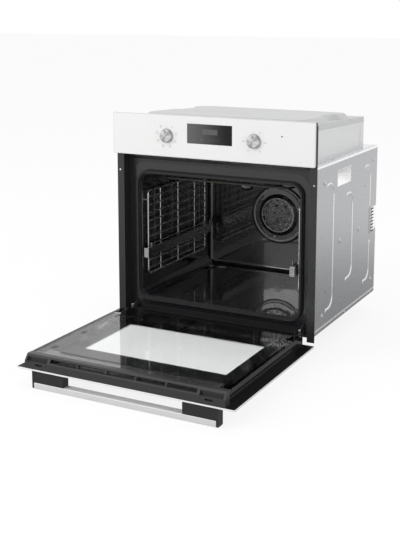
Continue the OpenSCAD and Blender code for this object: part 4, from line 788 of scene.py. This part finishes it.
def symbol(kind, x, z, half=SIGN_HALF):
    """Plain oven-function pictogram: a box with heat bars, a zigzag grill or a fan cross, or else a lamp."""
    inner = half * SIGN_INNER
    if kind == "lamp":
        ray = ((x, z + half * 0.8), (x, z + half * 1.15))
        foot = ((x - half * 0.3, z - half), (x + half * 0.3, z - half))
        return ring_lines(x, z, inner, 10) + [ray, foot]
    lines = square_lines(x, z, half)
    if "top" in kind:
        lines.append(((x - inner, z + inner), (x + inner, z + inner)))
    if "bottom" in kind:
        lines.append(((x - inner, z - inner), (x + inner, z - inner)))
    if "grill" in kind:
        saw = [(x - inner + inner * i / 2, z + inner * (1 if i % 2 else 0.35)) for i in range(5)]
        lines += [(saw[i], saw[i + 1]) for i in range(4)]
    if "fan" in kind:
        low = z - inner * (0.35 if "grill" in kind or "top" in kind else 0.0)
        arm = inner * 0.6
        lines += [((x - arm, low - arm), (x + arm, low + arm)), ((x - arm, low + arm), (x + arm, low - arm))]
    return lines


def dial_marks(finishes):
    """Ticks, numbers and pictograms screen-printed round the two knobs."""
    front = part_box("control_glass")[0].y - INK
    for name in ("left", "right"):
        low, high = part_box("knob_" + name)
        x, z = (low.x + high.x) / 2, (low.z + high.z) / 2
        ticks = [(around(x, z, 0, TOP_TICK[0]), around(x, z, 0, TOP_TICK[1]))]
        parts = [strokes(ticks, LINE, front, INK)]
        if name == "right":
            for text, degrees, radius in NUMBERS:
                parts.append(numerals(text, *around(x, z, degrees, radius), NUMERAL_SIZE, front, INK))
                tick = (around(x, z, degrees, SIZE_TICK[0]), around(x, z, degrees, SIZE_TICK[1]))
                parts.append(strokes([tick], LINE, front, INK))
        else:
            for i, kind in enumerate(FUNCTIONS):
                place = around(x, z, FIRST_FUNCTION + i * FUNCTION_STEP, FUNCTION_RADIUS)
                parts.append(strokes(symbol(kind, *place), LINE * 0.8, front, INK))
        put_mesh("dial_marks_" + name, *gather(parts), finishes["dark_ink"], "oven", "white_glass")


def knob_pointers(finishes):
    """A short dark line on each knob's face, from 10.5 mm to 15 mm out, that shows where it points."""
    for name in ("left", "right"):
        low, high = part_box("knob_" + name)
        x, z, front = (low.x + high.x) / 2, (low.z + high.z) / 2, low.y
        line = [(around(x, z, 0, POINTER[0]), around(x, z, 0, POINTER[1]))]
        bar = strokes(line, POINTER_WIDTH, front - INK / 2, INK)
        put_mesh("knob_pointer_" + name, *bar, finishes["knob_ink"], "knob_" + name, "knob_steel")


def touch_marks(finishes):
    """Small touch-key signs under the display window: a clock, a minus, a plus and a bell-shaped arc."""
    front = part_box("display_module")[0].y - INK / 2
    z = TOUCH_Z
    hands = [((-0.023, z), (-0.023, z + 0.0012)), ((-0.023, z), (-0.022, z))]
    clock = ring_lines(-0.023, z, 0.0016, 10) + hands
    minus = [((-0.0015, z), (0.0015, z))]
    plus = [((0.0110, z), (0.0140, z)), ((0.0125, z - 0.0015), (0.0125, z + 0.0015))]
    bell = ring_lines(0.0250, z, 0.0015, 8, 0.0, math.pi) + [((0.0230, z), (0.0270, z))]
    signs = strokes(clock + minus + plus + bell, TOUCH_LINE, front, INK)
    put_mesh("touch_marks", *signs, finishes["pale_ink"], "oven", "display")


WINDOW_X, WINDOW_Y = (-0.218, 0.188), (-0.295, -0.070)          # the door window, with the door open
PANE_R, FACE_R, WINDOW_R = 0.003, 0.0026, 0.002                 # corner radii of pane, face and window
PRINT_INSET, PRINT_T = 0.0014, 0.00006
WINDOW_GAP = 0.00002


def frame_loops(low, high, half, centre, hole, middle, edge=0.0006):
    """Section of a flat plate with a window, as loops: outer rounded edge, top face, hole wall and underside.
    half and centre belong to the plate, hole and middle to its window."""
    face = half - edge
    return [(*half, PANE_R, low + edge, centre), (*half, PANE_R, high - edge, centre),
            (*face, FACE_R, high, centre), (*hole, WINDOW_R, high, middle),
            (*hole, WINDOW_R, low, middle), (*face, FACE_R, low, centre)]


def outer_pane(finishes):
    """The door's outer pane: white back-painted glass, a black print on its inside and the clear window."""
    low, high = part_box("door_glass_outer")
    half = np.array([(high.x - low.x) / 2, (high.y - low.y) / 2])
    centre = np.array([(high.x + low.x) / 2, (high.y + low.y) / 2])
    middle = np.array([sum(WINDOW_X) / 2, sum(WINDOW_Y) / 2])
    hole = np.array([(WINDOW_X[1] - WINDOW_X[0]) / 2, (WINDOW_Y[1] - WINDOW_Y[0]) / 2])
    rows = frame_loops(low.z, high.z, half, centre, hole, middle)
    ring = put_mesh("door_outer_glass", *stacked_loops(rows, True), finishes["white_glass"], "door",
                    "white_glass")
    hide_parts("door_glass_outer")
    rows = frame_loops(high.z, high.z + PRINT_T, half - PRINT_INSET, centre, hole, middle, PRINT_T / 4)
    put_mesh("door_outer_print", *stacked_loops(rows, True), finishes["ceramic_print"], "door", "black_paint")
    clear = hole - WINDOW_GAP
    rows = [(*clear, WINDOW_R, low.z, middle), (*clear, WINDOW_R, high.z, middle)]
    pane = put_mesh("door_outer_window", *stacked_loops(rows, False), finishes["coated_glass"], "door",
                    "clear_glass")
    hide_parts("door_glass_outer")


# ---------- studio ----------

AMBIENT = 0.70
LAMP_AIM = (0.0, 0.1, 0.25)
# name, place, size, power and whether gloss mirrors it
LAMPS = (("key", (-2.6, -3.4, 2.6), 2.6, 80.0, False), ("top", (0.2, 0.3, 3.4), 2.8, 12.0, False),
         ("fill", (3.6, -0.6, 1.6), 2.4, 18.0, False), ("spark", (-1.5, -3.2, 1.5), 0.5, 5.0, True))
SHADE_NEAR, SHADE_FAR, SHADE_LEVEL = 0.55, 2.2, 0.35     # painted shade round the object in the floor that gloss mirrors: where it starts to fade, where it is gone, and how dark it is
FLOOR_HALF, FLOOR_DROP = 30.0, 0.001
FLOOR_GLOW, GLOW_SHARE = 1.06, 0.8          # how bright the floor shines, and how much of it isn't shaded


def studio_floor():
    """Pale floor at the lowest point of the part: white where nothing shades it, and it keeps the shadow.
    What gloss mirrors of it has a painted shade round the object.
    """
    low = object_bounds()[0].z - FLOOR_DROP
    corners = [(x * FLOOR_HALF, y * FLOOR_HALF, low) for x, y in ((-1, -1), (1, -1), (1, 1), (-1, 1))]
    mesh = bpy.data.meshes.new("studio_floor")
    mesh.from_pydata(corners, [], [(0, 1, 2, 3)])
    floor = bpy.data.objects.new("studio_floor", mesh)
    bpy.context.scene.collection.objects.link(floor)
    material = bpy.data.materials.new("studio_floor")
    material.use_nodes = True
    material.node_tree.nodes.clear()
    board = Board(material.node_tree)
    seen = seen_ray(board)
    lit = board.add("BsdfDiffuse", Color=(0.8, 0.8, 0.8, 1.0))
    # painted shade: what gloss mirrors of the floor darkens towards the object
    reach = board.add("VectorMath", {"operation": "LENGTH"})
    board.put(reach.inputs[0], board.object_point())
    fall = board.ramp(reach.outputs["Value"], SHADE_NEAR, SHADE_FAR, SHADE_LEVEL, 1.0)
    path = board.add("LightPath").outputs
    mirrored = board.sum("SUBTRACT", path["Is Glossy Ray"], path["Is Transmission Ray"], clamp=True)
    level = board.sum("MULTIPLY_ADD", mirrored, board.sum("SUBTRACT", fall, 1.0), 1.0)
    glow = board.add("Emission", Color=(1.0, 1.0, 1.0, 1.0))
    board.put(glow.inputs["Strength"], board.sum("MULTIPLY", level, FLOOR_GLOW))
    mixed = board.add("MixShader")
    board.put(mixed.inputs[0], board.sum("MULTIPLY", seen, GLOW_SHARE))
    board.put(mixed.inputs[1], lit.outputs[0])
    board.put(mixed.inputs[2], glow.outputs[0])
    board.put(board.add("OutputMaterial").inputs[0], mixed.outputs[0])
    mesh.materials.append(material)
    floor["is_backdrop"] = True


def seen_ray(board):
    """1 for rays from the camera, from gloss and through glass."""
    path = board.add("LightPath").outputs
    straight = board.sum("MAXIMUM", path["Is Camera Ray"], path["Is Glossy Ray"])
    return board.sum("MAXIMUM", straight, path["Is Transmission Ray"])


def studio_light():
    """White surroundings, plain even light, three wide soft lamps that gloss doesn't mirror and a small one
    that it does."""
    world = bpy.data.worlds.new("studio")
    bpy.context.scene.world = world
    world.use_nodes = True
    world.node_tree.nodes.clear()
    board = Board(world.node_tree)
    plain = board.add("Background", Color=(1.0, 1.0, 1.0, 1.0))
    board.put(plain.inputs["Strength"], board.ramp(seen_ray(board), 0.0, 1.0, AMBIENT, 1.0, smooth=False))
    board.put(board.add("OutputWorld").inputs[0], plain.outputs[0])
    for name, spot, size, power, mirrored in LAMPS:
        lamp = bpy.data.lights.new(name, "AREA")
        lamp.size, lamp.energy = size, power
        holder = bpy.data.objects.new(name, lamp)
        away = np.array(spot) - np.array(LAMP_AIM)
        away = away / np.linalg.norm(away)
        right = np.cross([0.0, 0.0, 1.0], away)
        right = right / np.linalg.norm(right)
        turn = np.eye(4)
        turn[:3, 0], turn[:3, 1], turn[:3, 2], turn[:3, 3] = right, np.cross(away, right), away, spot
        holder.matrix_world = Matrix(turn.tolist())
        holder.visible_glossy = mirrored
        bpy.context.scene.collection.objects.link(holder)


# ---------- the scene ----------

set_camera()
finishes = make_finishes()
paint(finishes)
outer_pane(finishes)
dial_marks(finishes)
knob_pointers(finishes)
touch_marks(finishes)
studio_floor()
studio_light()
bpy.context.scene.view_settings.view_transform = "Standard"
